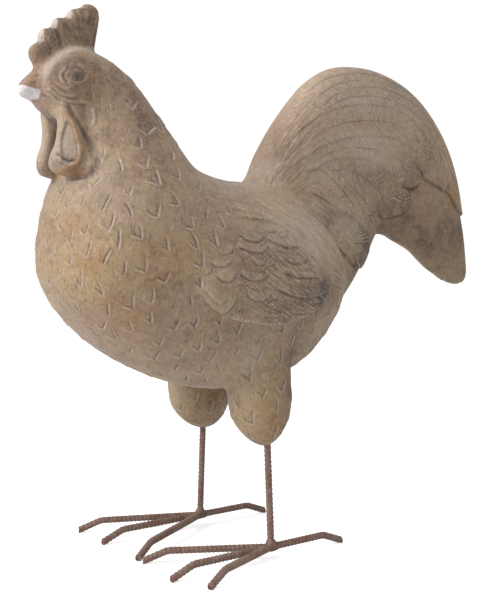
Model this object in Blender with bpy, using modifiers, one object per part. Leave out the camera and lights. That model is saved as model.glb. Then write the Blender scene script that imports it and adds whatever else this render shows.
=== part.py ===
"""Rooster garden figurine: a cast body standing on two legs of ribbed steel bar.

Units are metres and +Z is up. The bird faces -Y, so its left side is +X. While the pieces are made, the
legs' weld points stand on the line y = 0. An empty that holds every piece then centres them.
"""

import math

import bmesh
import bpy
import numpy as np
from mathutils import Euler, Matrix, Vector

# Driving sizes of the casting
CAST_HEIGHT = 0.400  # undersides of the thighs to the top of the comb
CAST_LENGTH = 0.544  # tip of the beak to the back of the tail
CAST_WIDTH = 0.204  # across the body

# Driving sizes of the legs and feet
LEG_HEIGHT = 0.107  # floor to the undersides of the thighs
BAR_DIAMETER = 0.0072
THIGH_SPACING = 0.114  # between the bars where they enter the thighs
FOOT_SPACING = 0.126  # between the weld points of the two feet
TOE_HEIGHT = 0.0115  # floor to a toe's centre line along its level stretch
LEFT_INNER_TOE_LENGTH = 0.119
LEFT_MIDDLE_TOE_LENGTH = 0.107
LEFT_OUTER_TOE_LENGTH = 0.095
LEFT_BACK_TOE_LENGTH = 0.085
RIGHT_INNER_TOE_LENGTH = 0.122
RIGHT_MIDDLE_TOE_LENGTH = 0.112
RIGHT_OUTER_TOE_LENGTH = 0.125
RIGHT_BACK_TOE_LENGTH = 0.082
LEFT_INNER_TOE_ANGLE = math.radians(28)
LEFT_OUTER_TOE_ANGLE = math.radians(21)
RIGHT_INNER_TOE_ANGLE = math.radians(30)
RIGHT_OUTER_TOE_ANGLE = math.radians(23)
TOE_DROP_LENGTH = 0.022  # the last stretch, bent down to the floor
TOE_BEND_RADIUS = 0.016
TIP_FLAT_DEPTH = 0.0006  # worn off the underside of a toe's tip, where it stands

# Fits
GAP = 0.0003  # between pieces that touch
SOCKET_DEPTH = 0.045  # of a leg in its thigh
SOCKET_CLEARANCE = 0.0003

# Each foot's toes: name, turn away from straight ahead towards the outside, and length
LEFT_TOES = (
    ("inner", -LEFT_INNER_TOE_ANGLE, LEFT_INNER_TOE_LENGTH),
    ("middle", 0.0, LEFT_MIDDLE_TOE_LENGTH),
    ("outer", LEFT_OUTER_TOE_ANGLE, LEFT_OUTER_TOE_LENGTH),
    ("back", math.pi, LEFT_BACK_TOE_LENGTH),
)
RIGHT_TOES = (
    ("inner", -RIGHT_INNER_TOE_ANGLE, RIGHT_INNER_TOE_LENGTH),
    ("middle", 0.0, RIGHT_MIDDLE_TOE_LENGTH),
    ("outer", RIGHT_OUTER_TOE_ANGLE, RIGHT_OUTER_TOE_LENGTH),
    ("back", math.pi, RIGHT_BACK_TOE_LENGTH),
)

# The casting is drawn on a side-view grid. A square is a share of the size that it lies along, and a
# place on the grid is squares forward of the legs, then squares above the undersides of the thighs.
SQUARES_HIGH = 400
SQUARES_LONG = 544
SQUARES_WIDE = 204

# Fineness of the solids
RING_SIDES = 64
RING_COUNT = 120
THIGH_STEPS = 40
SPINE_STEPS = 20
BAR_RESOLUTION = 3
LEG_SIDES = 12
SHARP_ANGLE = math.radians(40)
BEND_STEPS = 3
FORM_VOXEL = 0.0022
BODY_TRIANGLES = 8300
WELD_DISTANCE = 0.0001
CUTTER_SIZE = 0.4

# Sections of the trunk, neck and head. Each row is one cut across the bird: the place of its back edge,
# the place of its front edge, and its half width.
TRUNK_SECTIONS = (
    (-118, 172, -118, 142, 14),
    (-97, 202, -108, 112, 49),
    (-58, 234, -69, 69, 71),
    (-14, 247, -20, 54, 90),
    (18, 249, 42, 50, 98),
    (44, 254, 104, 69, 100),
    (66, 264, 159, 104, 95),
    (83, 286, 191, 151, 85),
    (98, 309, 192, 198, 68),
    (111, 328, 182, 236, 53),
    (126, 344, 175, 266, 41),
    (146, 355, 177, 286, 34),
    (170, 358, 189, 297, 28),
    (191, 348, 198, 302, 19),
    (205, 337, 205, 307, 10),
    (212, 330, 212, 311, 8),
    (217, 323, 217, 316, 3),
)
TRUNK_ROUNDNESS = 2.1  # of its sections: 2 is an oval, and more is squarer
LEAST_HALF_WIDTH = 1

# Sections of the tail from its root to its tip: its outer edge, its inner edge, and its half thickness
TAIL_SECTIONS = (
    (20, 218, -66, 96, 40),
    (-18, 249, -110, 116, 42),
    (-35, 282, -138, 142, 38),
    (-58, 317, -156, 164, 34),
    (-88, 350, -168, 184, 30),
    (-117, 368, -176, 195, 27),
    (-148, 373, -186, 198, 24),
    (-182, 371, -198, 197, 22),
    (-217, 361, -210, 193, 20),
    (-245, 346, -224, 187, 18),
    (-272, 321, -238, 179, 17),
    (-295, 289, -251, 169, 15),
    (-309, 253, -264, 157, 14),
    (-317, 215, -280, 148, 12),
    (-323, 180, -294, 142, 10),
    (-327, 152, -305, 140, 7),
    (-325, 143, -313, 140, 2),
)
TAIL_ROUNDNESS = 2.7

# Sections of a wattle, a flat drop that hangs beside the throat, and how far from the middle it hangs
WATTLE_SECTIONS = (
    (186, 311, 180, 312, 3),
    (187, 300, 174, 302, 5),
    (188, 288, 168, 289, 7),
    (191, 274, 163, 275, 8),
    (196, 262, 161, 262, 9),
    (197, 254, 164, 254, 8),
    (194, 249, 170, 249, 6),
    (185, 246, 182, 246, 4),
)
WATTLE_OFFSET = 23
WATTLE_MIDDLE = 178
WATTLE_FLARE = 0.4  # how much further out its back edge stands for each square back

# The comb's lobes from the back one to the front one: root, middle of the round tip, and its radius
COMB_LOBES = (
    (156, 350, 152, 387, 10),
    (165, 350, 164, 382, 9),
    (174, 347, 178, 373, 9),
    (183, 342, 190, 363, 9),
    (192, 334, 200, 349, 9),
)
COMB_HALF_WIDTH = 8
# A lobe's girth at its root and halfway up, as shares of its tip's, and the turns over the tip's dome
LOBE_ROOT_SHARE = 0.75
LOBE_MIDDLE_SHARE = 0.9
DOME_TURNS = (0, 30, 55, 75, 88)

# A thigh as a turned drop: squares above its underside and its radius there
THIGH_PROFILE = (
    (116, 0),
    (104, 10),
    (86, 26),
    (66, 29),
    (42, 30),
    (24, 27),
    (12, 20),
    (4, 12),
    (0, 0),
)
THIGH_FORWARD = 5
THIGH_INSET = 3  # how much nearer the middle it stands than the line of its leg

# Where joints between the shapes are rubbed smooth: place, squares from the middle, reach and strength
SOFT_JOINTS = (
    (4, 62, 50, 38, 0.7),
    (4, 84, 80, 40, 1.0),
    (-30, 236, 0, 42, 0.6),
    (-30, 215, 45, 42, 0.6),
    (-80, 140, 25, 44, 0.6),
    (-112, 160, 0, 34, 0.6),
    (172, 352, 0, 17, 0.25),
    (176, 300, 20, 12, 0.25),
)
SOFT_ROUNDS = 60

# The wing is a raised pad with an oval outline: a clear edge below, and a soft one above
WING_MIDDLE = (20, 166)
WING_REACH_FORWARD = 88
WING_REACH_BACK = 96
WING_DROP = 52
WING_TOP = 54
WING_RISE = 5
WING_EDGE_BELOW = 0.12
WING_EDGE_ABOVE = 0.7

# Feathers are carved as tongues: the places along the spine, half the tongue's width, how far it
# stands up, and its lean, which lifts one side over the next feather. A later tongue lies on an
# earlier one.
FEATHER_EDGE = (0.74, 1.1)  # the share of its half width where a tongue's side starts and ends
ROOT_WIDTH = 0.5  # share of its full width that a tongue has at its root
FULL_WIDTH_AT = 0.45  # share of its length where it has its full width
ROOT_FADE = 0.15  # share of its length over which it grows out of the skin
SIDE_DROP = 0.3  # how much lower its sides are than its middle
LEAN_RISE = 0.3  # how much higher its leaning side is
SHAFT_DEPTH = 0.25  # of its rise, for the groove along its middle
SHAFT_HALF_WIDTH = 1.5
WING_ROOT_RISE = 0.45  # share of its rise that a wing or saddle feather has at its root
TAIL_ROOT_RISE = 0.12

# These lie on the wing, from its lower edge upwards
FLIGHT_FEATHERS = (
    (((74, 132), (5, 124), (-56, 131)), 12, 2.8, -1),
    (((78, 146), (0, 137), (-64, 141)), 12, 2.8, -1),
    (((80, 163), (5, 155), (-52, 156)), 12, 2.8, -1),
    (((80, 180), (12, 172), (-34, 169)), 12, 2.8, -1),
    (((76, 198), (14, 190), (-20, 184)), 12, 2.6, -1),
)

# Feathers that hang from the back over the root of the tail and the top of the wing
SADDLE_FEATHERS = (
    (((18, 226), (-14, 200), (-40, 172)), 9, 1.5, 1),
    (((10, 232), (-28, 200), (-60, 162)), 10, 1.7, 1),
    (((2, 238), (-44, 200), (-84, 157)), 11, 1.9, 1),
    (((-6, 242), (-60, 205), (-104, 162)), 11, 2.1, 1),
)

# Feathers of the tail's raised cover, from the outer edge inwards
TAIL_FEATHERS = (
    (((-30, 262), (-66, 326), (-118, 358), (-185, 364), (-248, 334), (-290, 276), (-302, 240)), 14, 2.0, 1),
    (((-36, 250), (-80, 312), (-140, 340), (-205, 336), (-258, 296), (-278, 262)), 14, 2.0, 1),
    (((-40, 240), (-90, 294), (-150, 316), (-205, 306), (-250, 268)), 14, 2.0, 1),
    (((-44, 232), (-95, 274), (-150, 290), (-218, 265)), 14, 2.1, 1),
    (((-46, 226), (-100, 254), (-150, 262), (-198, 235)), 15, 2.2, 1),
    (((-50, 220), (-100, 234), (-172, 212)), 13, 2.3, 1),
    (((-54, 212), (-100, 204), (-140, 178)), 17, 2.6, 1),
)
# Behind the cover's lobed ends the tail's blade lies deeper, below this line and inside its rim
BLADE_LINE = ((-120, 196), (-262, 292))
BLADE_DEPTH = 6
BLADE_FADE = 16
SADDLE_OVERLAP = 0.5  # share of a saddle feather's rise that it keeps on top of the wing
BLADE_START = (-126, -142)  # the blade starts and is fully sunk this far back

# The eyes are almonds set in the sides of the head: place, squares from the middle, and half sizes
EYE_PLACE = (179, 331)
EYE_FROM_MIDDLE = 24.5
EYE_HALF_LENGTH = 8
EYE_HALF_HEIGHT = 6
EYE_HALF_DEPTH = 6
EYE_SIDES = 12

# Where the skin takes its relief: how far to the side it faces, and the bounds of the tail and head
SIDE_FACING = (0.3, 0.7)
TAIL_AHEAD = (-58, -28)  # behind the first there is only tail, and ahead of the second none
TAIL_ABOVE = (120, 150)
HEAD_AHEAD = (140, 150)
HEAD_ABOVE = (240, 246)
# The pad inside a wattle's rim
PAD_PLACE = (179, 273)
PAD_HALF_LENGTH = 19
PAD_HALF_WIDTH = 8.5
PAD_GROOVE = 1.3
PAD_TAPER = 0.35  # how much narrower it is at the top
GROOVE_HALF_WIDTH = 0.2  # as a share of the pad's
WATTLE_FOOT = (249, 253)  # the relief starts above the first and is full above the second
WATTLE_ROOT = (296, 302)

# Finishes: colour, metallic and roughness
CAST_STONE = ((0.36, 0.27, 0.19, 1.0), 0.0, 0.85)
RUSTY_STEEL = ((0.20, 0.12, 0.09, 1.0), 0.6, 0.7)


def along(squares):
    """The y place of a point that many squares forward of the legs."""
    return -squares * CAST_LENGTH / SQUARES_LONG


def above(squares):
    """The z place of a point that many squares above the undersides of the thighs."""
    return LEG_HEIGHT + squares * CAST_HEIGHT / SQUARES_HIGH


def across(squares):
    """A width of that many squares."""
    return squares * CAST_WIDTH / SQUARES_WIDE


def on_grid(points):
    """The grid places of points, with how far each is from the middle plane, in squares."""
    return np.column_stack(
        (
            -points[:, 1] * SQUARES_LONG / CAST_LENGTH,
            (points[:, 2] - LEG_HEIGHT) * SQUARES_HIGH / CAST_HEIGHT,
            np.abs(points[:, 0]) * SQUARES_WIDE / CAST_WIDTH,
        )
    )


def ramp(values, low, high):
    """0 below low, 1 above high, and a smooth rise between them."""
    t = np.clip((values - low) / (high - low), 0.0, 1.0)
    return t * t * (3 - 2 * t)


def smooth_rows(rows, count):
    """Rows of numbers read at even steps along a smooth curve through the given rows."""
    rows = np.asarray(rows, float)
    steps = np.linalg.norm(np.diff(rows[:, :4], axis=0), axis=1)
    ways = np.concatenate(([0.0], np.cumsum(np.sqrt(steps))))
    slopes = np.gradient(rows, ways, axis=0)
    places = np.linspace(0.0, ways[-1], count)
    starts = np.clip(np.searchsorted(ways, places, side="right") - 1, 0, len(rows) - 2)
    width = (ways[starts + 1] - ways[starts])[:, None]
    t = (places - ways[starts])[:, None] / width
    return (
        (2 * t**3 - 3 * t**2 + 1) * rows[starts]
        + (t**3 - 2 * t**2 + t) * width * slopes[starts]
        + (3 * t**2 - 2 * t**3) * rows[starts + 1]
        + (t**3 - t**2) * width * slopes[starts + 1]
    )


def new_object(name, mesh, collection):
    """A new object with the mesh, in the collection."""
    made = bpy.data.objects.new(name, mesh)
    collection.objects.link(made)
    return made


def rounded(turn, roundness):
    """The cosine and sine of a turn around an oval, squarer where the roundness is over 2."""
    power = 2 / roundness
    cosine = math.copysign(abs(math.cos(turn)) ** power, math.cos(turn))
    sine = math.copysign(abs(math.sin(turn)) ** power, math.sin(turn))
    return cosine, sine


def loft(name, sections, collection, offset=0.0, roundness=2.0, flare=0.0):
    """A closed form through the sections, each an oval between its back edge and its front edge."""
    shape = bmesh.new()
    rings = []
    for back_along, back_above, front_along, front_above, half_width in smooth_rows(sections, RING_COUNT):
        back = Vector((0, along(back_along), above(back_above)))
        front = Vector((0, along(front_along), above(front_above)))
        ring = []
        for side in range(RING_SIDES):
            cosine, sine = rounded(math.tau * side / RING_SIDES, roundness)
            place = (back + front) / 2 + cosine * (back - front) / 2
            place.x = across(offset + sine * max(half_width, LEAST_HALF_WIDTH))
            place.x += flare * (place.y - along(WATTLE_MIDDLE))
            ring.append(shape.verts.new(place))
        rings.append(ring)
    for ring, following in zip(rings, rings[1:]):
        for side in range(RING_SIDES):
            after = (side + 1) % RING_SIDES
            shape.faces.new((ring[side], ring[after], following[after], following[side]))
    shape.faces.new(rings[0])
    shape.faces.new(rings[-1])
    bmesh.ops.recalc_face_normals(shape, faces=shape.faces)
    mesh = bpy.data.meshes.new(name)
    shape.to_mesh(mesh)
    shape.free()
    return new_object(name, mesh, collection)


def lobe_sections(root, tip, radius, half_width):
    """Sections of a finger from its root to its round tip."""
    ahead = (tip - root).normalized()
    edge = Vector((ahead.y, -ahead.x))
    stations = [(root, LOBE_ROOT_SHARE), ((root + tip) / 2, LOBE_MIDDLE_SHARE)]
    for turn in DOME_TURNS:
        turn = math.radians(turn)
        stations.append((tip + ahead * radius * math.sin(turn), math.cos(turn)))
    return [
        (*(centre - edge * radius * share), *(centre + edge * radius * share), half_width * share)
        for centre, share in stations
    ]


def make_comb(collection):
    """The comb's lobes, standing on the head like fingers held together."""
    lobes = []
    for number, (root_along, root_above, tip_along, tip_above, radius) in enumerate(COMB_LOBES):
        root = Vector((root_along, root_above))
        tip = Vector((tip_along, tip_above))
        sections = lobe_sections(root, tip, radius, COMB_HALF_WIDTH)
        lobes.append(loft(f"comb_lobe_{number}", sections, collection))
    return lobes


def make_thigh(side, collection):
    """One thigh, a drop turned about an upright line."""
    mesh = bpy.data.meshes.new("thigh")
    profile = smooth_rows(THIGH_PROFILE, THIGH_STEPS)
    outline = [(max(across(radius), 0), 0, above(height) - above(0)) for height, radius in profile]
    mesh.from_pydata(outline, [(i, i + 1) for i in range(len(outline) - 1)], [])
    thigh = new_object(f"thigh_{side}", mesh, collection)
    from_middle = THIGH_SPACING / 2 - across(THIGH_INSET)
    thigh.location = (side * from_middle, along(THIGH_FORWARD), LEG_HEIGHT)
    turn = thigh.modifiers.new("Turn", "SCREW")
    turn.axis = "Z"
    turn.steps = turn.render_steps = RING_SIDES
    turn.use_merge_vertices = True
    turn.merge_threshold = WELD_DISTANCE
    return thigh


def join_shapes(shapes, name, collection):
    """One mesh object made of all the evaluated shapes, which are then removed."""
    bpy.context.view_layer.update()
    depsgraph = bpy.context.evaluated_depsgraph_get()
    joined = bmesh.new()
    for shape in shapes:
        mesh = bpy.data.meshes.new_from_object(shape.evaluated_get(depsgraph))
        mesh.transform(shape.matrix_world)
        joined.from_mesh(mesh)
        bpy.data.meshes.remove(mesh)
    for shape in shapes:
        bpy.data.objects.remove(shape)
    mesh = bpy.data.meshes.new(name)
    joined.to_mesh(mesh)
    joined.free()
    return new_object(name, mesh, collection)


def bake_modifiers(thing):
    """Turn an object's evaluated shape into its own mesh, without modifiers."""
    bpy.context.view_layer.update()
    mesh = bpy.data.meshes.new_from_object(thing.evaluated_get(bpy.context.evaluated_depsgraph_get()))
    thing.modifiers.clear()
    thing.data = mesh
    return mesh


def read_points(mesh):
    """The mesh's points as rows of x, y and z."""
    points = np.empty(len(mesh.vertices) * 3, np.float32)
    mesh.vertices.foreach_get("co", points)
    return points.reshape(-1, 3).astype(float)


def write_points(mesh, points):
    """Move the mesh's points to the rows of x, y and z."""
    mesh.vertices.foreach_set("co", points.astype(np.float32).ravel())
    mesh.update()


def read_normals(mesh):
    """The mesh's outward direction at each point."""
    normals = np.empty(len(mesh.vertices) * 3, np.float32)
    mesh.vertex_normals.foreach_get("vector", normals)
    return normals.reshape(-1, 3).astype(float)


def soften_joints(mesh):
    """Rub the skin smooth where two shapes meet, by drawing each point to its neighbours' middle."""
    points = read_points(mesh)
    places = on_grid(points)
    weight = np.zeros(len(points))
    for *place, reach, strength in SOFT_JOINTS:
        distance = np.linalg.norm(places - place, axis=1)
        weight = np.maximum(weight, strength * (1 - ramp(distance, reach / 2, reach)))
    edges = np.empty(len(mesh.edges) * 2, np.int32)
    mesh.edges.foreach_get("vertices", edges)
    first, second = edges.reshape(-1, 2).T
    count = np.bincount(first, minlength=len(points)) + np.bincount(second, minlength=len(points))
    for _ in range(SOFT_ROUNDS):
        middle = np.empty_like(points)
        for axis in range(3):
            total = np.bincount(first, points[second, axis], len(points))
            total += np.bincount(second, points[first, axis], len(points))
            middle[:, axis] = total / count
        points += weight[:, None] * (middle - points)
    write_points(mesh, points)


def spine_way(places, spine):
    """Where each place lies by a feather's spine: share of its length, side offset and distance."""
    line = smooth_rows(spine, SPINE_STEPS)
    lengths = np.linalg.norm(np.diff(line, axis=0), axis=1)
    total = lengths.sum()
    nearest = np.full(len(places), np.inf)
    share = np.zeros(len(places))
    offset = np.zeros(len(places))
    passed = 0.0
    for start, end, length in zip(line, line[1:], lengths):
        ahead = (end - start) / length
        reach = np.clip((places - start) @ ahead, 0, length)
        away = places - start - reach[:, None] * ahead
        distance = np.linalg.norm(away, axis=1)
        closer = distance < nearest
        nearest[closer] = distance[closer]
        share[closer] = ((passed + reach) / total)[closer]
        offset[closer] = (away @ np.array((-ahead[1], ahead[0])))[closer]
        passed += length
    return share, offset, nearest


def lay_feather(height, cover, places, feather, root_rise):
    """Carve one tongue over what lies there already."""
    spine, half_width, rise, lean = feather
    share, offset, distance = spine_way(places, spine)
    width = half_width * (ROOT_WIDTH + (1 - ROOT_WIDTH) * ramp(share, 0.0, FULL_WIDTH_AT))
    edge = distance / width
    inside = (1 - ramp(edge, *FEATHER_EDGE)) * ramp(share, 0.0, ROOT_FADE)
    top = rise * (root_rise + (1 - root_rise) * share**2)
    top *= (1 - SIDE_DROP * edge**2) * (1 + LEAN_RISE * lean * offset / width)
    shaft = SHAFT_DEPTH * top * np.exp(-((offset / SHAFT_HALF_WIDTH) ** 2)) * ramp(share, 0.0, ROOT_FADE)
    height += inside * (top - shaft - height)
    np.maximum(cover, inside, out=cover)


def wing_pad(places):
    """How much of the wing's pad lies under each place, from 0 outside it to 1 on it."""
    ahead = places[:, 0] - WING_MIDDLE[0]
    over = places[:, 1] - WING_MIDDLE[1]
    reach_along = np.where(ahead > 0, WING_REACH_FORWARD, WING_REACH_BACK)
    reach_above = np.where(over > 0, WING_TOP, WING_DROP)
    radius = np.hypot(ahead / reach_along, over / reach_above)
    upward = ramp(over, -WING_DROP / 2, WING_TOP / 2)
    edge = WING_EDGE_BELOW + (WING_EDGE_ABOVE - WING_EDGE_BELOW) * upward
    return 1 - ramp((radius - 1) / edge, -1, 0)


def wing_relief(places):
    """The wing's pad and its feathers, with the saddle's feathers over them."""
    height = np.zeros(len(places))
    cover = np.zeros(len(places))
    for feather in FLIGHT_FEATHERS:
        lay_feather(height, cover, places, feather, WING_ROOT_RISE)
    height += wing_pad(places) * WING_RISE
    for feather in SADDLE_FEATHERS:
        over = np.zeros(len(places))
        top = np.zeros(len(places))
        lay_feather(top, over, places, feather, WING_ROOT_RISE)
        height += over * (np.maximum(height, top) + top * SADDLE_OVERLAP - height)
    return height


def tail_relief(places):
    """The tail's raised cover with its lobed ends, and the deeper blade behind them."""
    height = np.zeros(len(places))
    cover = np.zeros(len(places))
    for feather in TAIL_FEATHERS:
        lay_feather(height, cover, places, feather, TAIL_ROOT_RISE)
    start, end = (np.array(place, float) for place in BLADE_LINE)
    ahead = (end - start) / np.linalg.norm(end - start)
    below = (places - start) @ np.array((-ahead[1], ahead[0]))
    blade = ramp(below, -BLADE_FADE, 0) * ramp(-places[:, 0], -BLADE_START[0], -BLADE_START[1])
    return height - blade * (1 - cover) * BLADE_DEPTH


def wattle_relief(places):
    """The groove between a wattle's rim and its pad."""
    pad_along = (places[:, 0] - PAD_PLACE[0]) / PAD_HALF_WIDTH
    pad_above = (places[:, 1] - PAD_PLACE[1]) / PAD_HALF_LENGTH
    from_rim = np.hypot(pad_along * (1 + PAD_TAPER * pad_above), pad_above) - 1
    on_wattle = ramp(places[:, 1], *WATTLE_FOOT) * (1 - ramp(places[:, 1], *WATTLE_ROOT))
    return -PAD_GROOVE * np.exp(-((from_rim / GROOVE_HALF_WIDTH) ** 2)) * on_wattle


def carve_relief(mesh):
    """Lift the skin by the relief of the wings, tail and head."""
    points = read_points(mesh)
    normals = read_normals(mesh)
    grid = on_grid(points)
    places = grid[:, :2]
    facing_side = ramp(np.abs(normals[:, 0]), *SIDE_FACING)
    tail = (1 - ramp(grid[:, 0], *TAIL_AHEAD)) * ramp(grid[:, 1], *TAIL_ABOVE)
    head = ramp(grid[:, 0], *HEAD_AHEAD) * ramp(grid[:, 1], *HEAD_ABOVE)
    height = wing_relief(places) * (1 - head)
    in_tail = tail_relief(places)
    height = np.maximum(height, tail * in_tail) + tail * np.minimum(in_tail, 0)
    height += head * wattle_relief(places)
    write_points(mesh, points + normals * (across(height) * facing_side)[:, None])


def give_finish(thing, name, finish):
    """Give the object a material of its own."""
    colour, metallic, roughness = finish
    material = bpy.data.materials.new(name)
    material.use_nodes = True
    shader = material.node_tree.nodes["Principled BSDF"]
    shader.inputs["Base Color"].default_value = colour
    shader.inputs["Metallic"].default_value = metallic
    shader.inputs["Roughness"].default_value = roughness
    thing.data.materials.clear()
    thing.data.materials.append(material)


def cut(thing, cutter):
    """Take the cutter's shape out of the object."""
    boolean = thing.modifiers.new("Cut", "BOOLEAN")
    boolean.operation = "DIFFERENCE"
    boolean.object = cutter


def keep_as_cutter(thing, name, cutters):
    """Mark a new primitive as a cutter and put it with the others."""
    thing.name = name
    thing.hide_render = True
    thing.display_type = "WIRE"
    for owner in list(thing.users_collection):
        owner.objects.unlink(thing)
    cutters.objects.link(thing)
    return thing


def leg_line(side):
    """The foot's weld point and the point where the leg's line meets the underside of the thigh."""
    foot = Vector((side * FOOT_SPACING / 2, 0, TOE_HEIGHT))
    thigh = Vector((side * THIGH_SPACING / 2, 0, LEG_HEIGHT))
    return foot, thigh


def make_eye(name, side):
    """An almond with its round side out."""
    bpy.ops.mesh.primitive_uv_sphere_add(
        segments=EYE_SIDES,
        ring_count=EYE_SIDES // 2,
        radius=1,
        location=(side * across(EYE_FROM_MIDDLE), along(EYE_PLACE[0]), above(EYE_PLACE[1])),
        scale=(across(EYE_HALF_DEPTH), -along(EYE_HALF_LENGTH), above(EYE_HALF_HEIGHT) - above(0)),
    )
    eye = bpy.context.object
    eye.name = name
    return eye


def make_rod(name, start, end, diameter):
    """A round bar between two points."""
    bpy.ops.mesh.primitive_cylinder_add(
        vertices=LEG_SIDES,
        radius=diameter / 2,
        depth=(end - start).length,
        location=(start + end) / 2,
        rotation=(end - start).to_track_quat("Z", "Y").to_euler(),
    )
    rod = bpy.context.object
    rod.name = name
    return rod


def make_body(parts, cutters):
    """The casting, with a socket in each thigh for its leg."""
    shapes = [
        loft("trunk", TRUNK_SECTIONS, parts, roundness=TRUNK_ROUNDNESS),
        loft("tail_blade", TAIL_SECTIONS, parts, roundness=TAIL_ROUNDNESS),
        *make_comb(parts),
    ]
    for side in (-1, 1):
        wattle = (f"wattle_{side}", WATTLE_SECTIONS, parts)
        shapes.append(loft(*wattle, offset=side * WATTLE_OFFSET, flare=side * WATTLE_FLARE))
        shapes.append(make_thigh(side, parts))
    body = join_shapes(shapes, "body", parts)
    remesh = body.modifiers.new("Melt", "REMESH")
    remesh.mode = "VOXEL"
    remesh.voxel_size = FORM_VOXEL
    mesh = bake_modifiers(body)
    soften_joints(mesh)
    carve_relief(mesh)
    thin = body.modifiers.new("Thin", "DECIMATE")
    thin.ratio = BODY_TRIANGLES / (2 * len(mesh.polygons))
    for name, side in (("left", 1), ("right", -1)):
        eye = keep_as_cutter(make_eye("eye", side), f"eye_{name}", cutters)
        boolean = body.modifiers.new("Eye", "BOOLEAN")
        boolean.operation = "UNION"
        boolean.object = eye
    for name, side in (("left", 1), ("right", -1)):
        foot, thigh = leg_line(side)
        ahead = (thigh - foot).normalized()
        deep_end = thigh + ahead * (SOCKET_DEPTH + SOCKET_CLEARANCE)
        outside = thigh - ahead * BAR_DIAMETER * 2
        bore = BAR_DIAMETER + 2 * SOCKET_CLEARANCE
        cut(body, keep_as_cutter(make_rod("socket", outside, deep_end, bore), f"socket_{name}", cutters))
    give_finish(body, "cast_stone", CAST_STONE)
    return body


def make_leg(name, side, parts):
    """A leg bar from the foot's weld point up into the thigh."""
    foot, thigh = leg_line(side)
    ahead = (thigh - foot).normalized()
    leg = make_rod(f"leg_{name}", foot - ahead * BAR_DIAMETER / 2, thigh + ahead * SOCKET_DEPTH, BAR_DIAMETER)
    for owner in list(leg.users_collection):
        owner.objects.unlink(leg)
    parts.objects.link(leg)
    give_finish(leg, f"leg_{name}_steel", RUSTY_STEEL)
    return leg


def toe_path(length):
    """A toe's centre line, straight out along -Y at its height and then bent down to the floor."""
    radius = BAR_DIAMETER / 2
    slope = math.atan2(TOE_HEIGHT - radius, TOE_DROP_LENGTH)
    tip_height = radius * math.cos(slope) - TIP_FLAT_DEPTH
    slope = math.atan2(TOE_HEIGHT - tip_height, TOE_DROP_LENGTH)
    bend_start = length - TOE_DROP_LENGTH - TOE_BEND_RADIUS * math.tan(slope / 2)
    path = [Vector((0, 0, TOE_HEIGHT))]
    for step in range(BEND_STEPS + 1):
        turn = slope * step / BEND_STEPS
        forward = bend_start + TOE_BEND_RADIUS * math.sin(turn)
        path.append(Vector((0, -forward, TOE_HEIGHT - TOE_BEND_RADIUS * (1 - math.cos(turn)))))
    path.append(Vector((0, -length, tip_height)))
    return path


def make_bar(name, path, collection):
    """A round bar along the path, as a closed mesh."""
    curve = bpy.data.curves.new(name, "CURVE")
    curve.dimensions = "3D"
    curve.bevel_depth = BAR_DIAMETER / 2
    curve.bevel_resolution = BAR_RESOLUTION
    curve.use_fill_caps = True
    spline = curve.splines.new("POLY")
    spline.points.add(len(path) - 1)
    for point, place in zip(spline.points, path):
        point.co = (*place, 1)
    drawn = new_object(f"{name}_curve", curve, collection)
    bpy.context.view_layer.update()
    depsgraph = bpy.context.evaluated_depsgraph_get()
    mesh = bpy.data.meshes.new_from_object(drawn.evaluated_get(depsgraph))
    bpy.data.objects.remove(drawn)
    welded = bmesh.new()
    welded.from_mesh(mesh)
    bmesh.ops.remove_doubles(welded, verts=welded.verts, dist=WELD_DISTANCE)
    bmesh.ops.recalc_face_normals(welded, faces=welded.faces)
    welded.to_mesh(mesh)
    welded.free()
    return new_object(name, mesh, collection)


def half_space(name, turn, side, place, cutters):
    """A block whose face stands upright through the place, along the turn, on the named side of it."""
    bpy.ops.mesh.primitive_cube_add(size=CUTTER_SIZE)
    block = keep_as_cutter(bpy.context.object, name, cutters)
    shift = Vector((side * (CUTTER_SIZE / 2 - GAP / 2), 0, 0))
    block.rotation_euler = Euler((0, 0, turn))
    block.location = place + Matrix.Rotation(turn, 3, "Z") @ shift
    return block


def make_foot(name, side, toes, parts, cutters):
    """The four toes of a foot, cut to meet each other and the leg at the weld point."""
    weld = Vector((side * FOOT_SPACING / 2, 0, 0))
    foot, thigh = leg_line(side)
    ahead = (thigh - foot).normalized()
    clear_of_leg = keep_as_cutter(
        make_rod("leg", foot - ahead * TOE_HEIGHT, thigh, BAR_DIAMETER + 2 * GAP),
        f"leg_room_{name}",
        cutters,
    )
    bpy.ops.mesh.primitive_cube_add(size=CUTTER_SIZE, location=(weld.x, 0, -CUTTER_SIZE / 2))
    floor = keep_as_cutter(bpy.context.object, f"floor_{name}", cutters)
    order = sorted((side * turn % math.tau, which, length) for which, turn, length in toes)
    made = []
    for number, (turn, which, length) in enumerate(order):
        toe = make_bar(f"toe_{name}_{which}", toe_path(length), parts)
        toe.location = weld
        toe.rotation_euler = Euler((0, 0, turn))
        to_next = (order[(number + 1) % len(order)][0] - turn) % math.tau
        to_last = (turn - order[number - 1][0]) % math.tau
        for edge, bisector, way in (("low", turn - to_last / 2, -1), ("high", turn + to_next / 2, 1)):
            block = half_space(f"mitre_{name}_{which}_{edge}", bisector, way, weld, cutters)
            cut(toe, block)
        cut(toe, clear_of_leg)
        cut(toe, floor)
        give_finish(toe, f"toe_{name}_{which}_steel", RUSTY_STEEL)
        made.append(toe)
    return made


def smooth_shading(thing):
    """Shade the round sides smooth and keep the cut ends sharp."""
    thing.data.shade_smooth()
    thing.data.set_sharp_from_angle(angle=SHARP_ANGLE)


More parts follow.
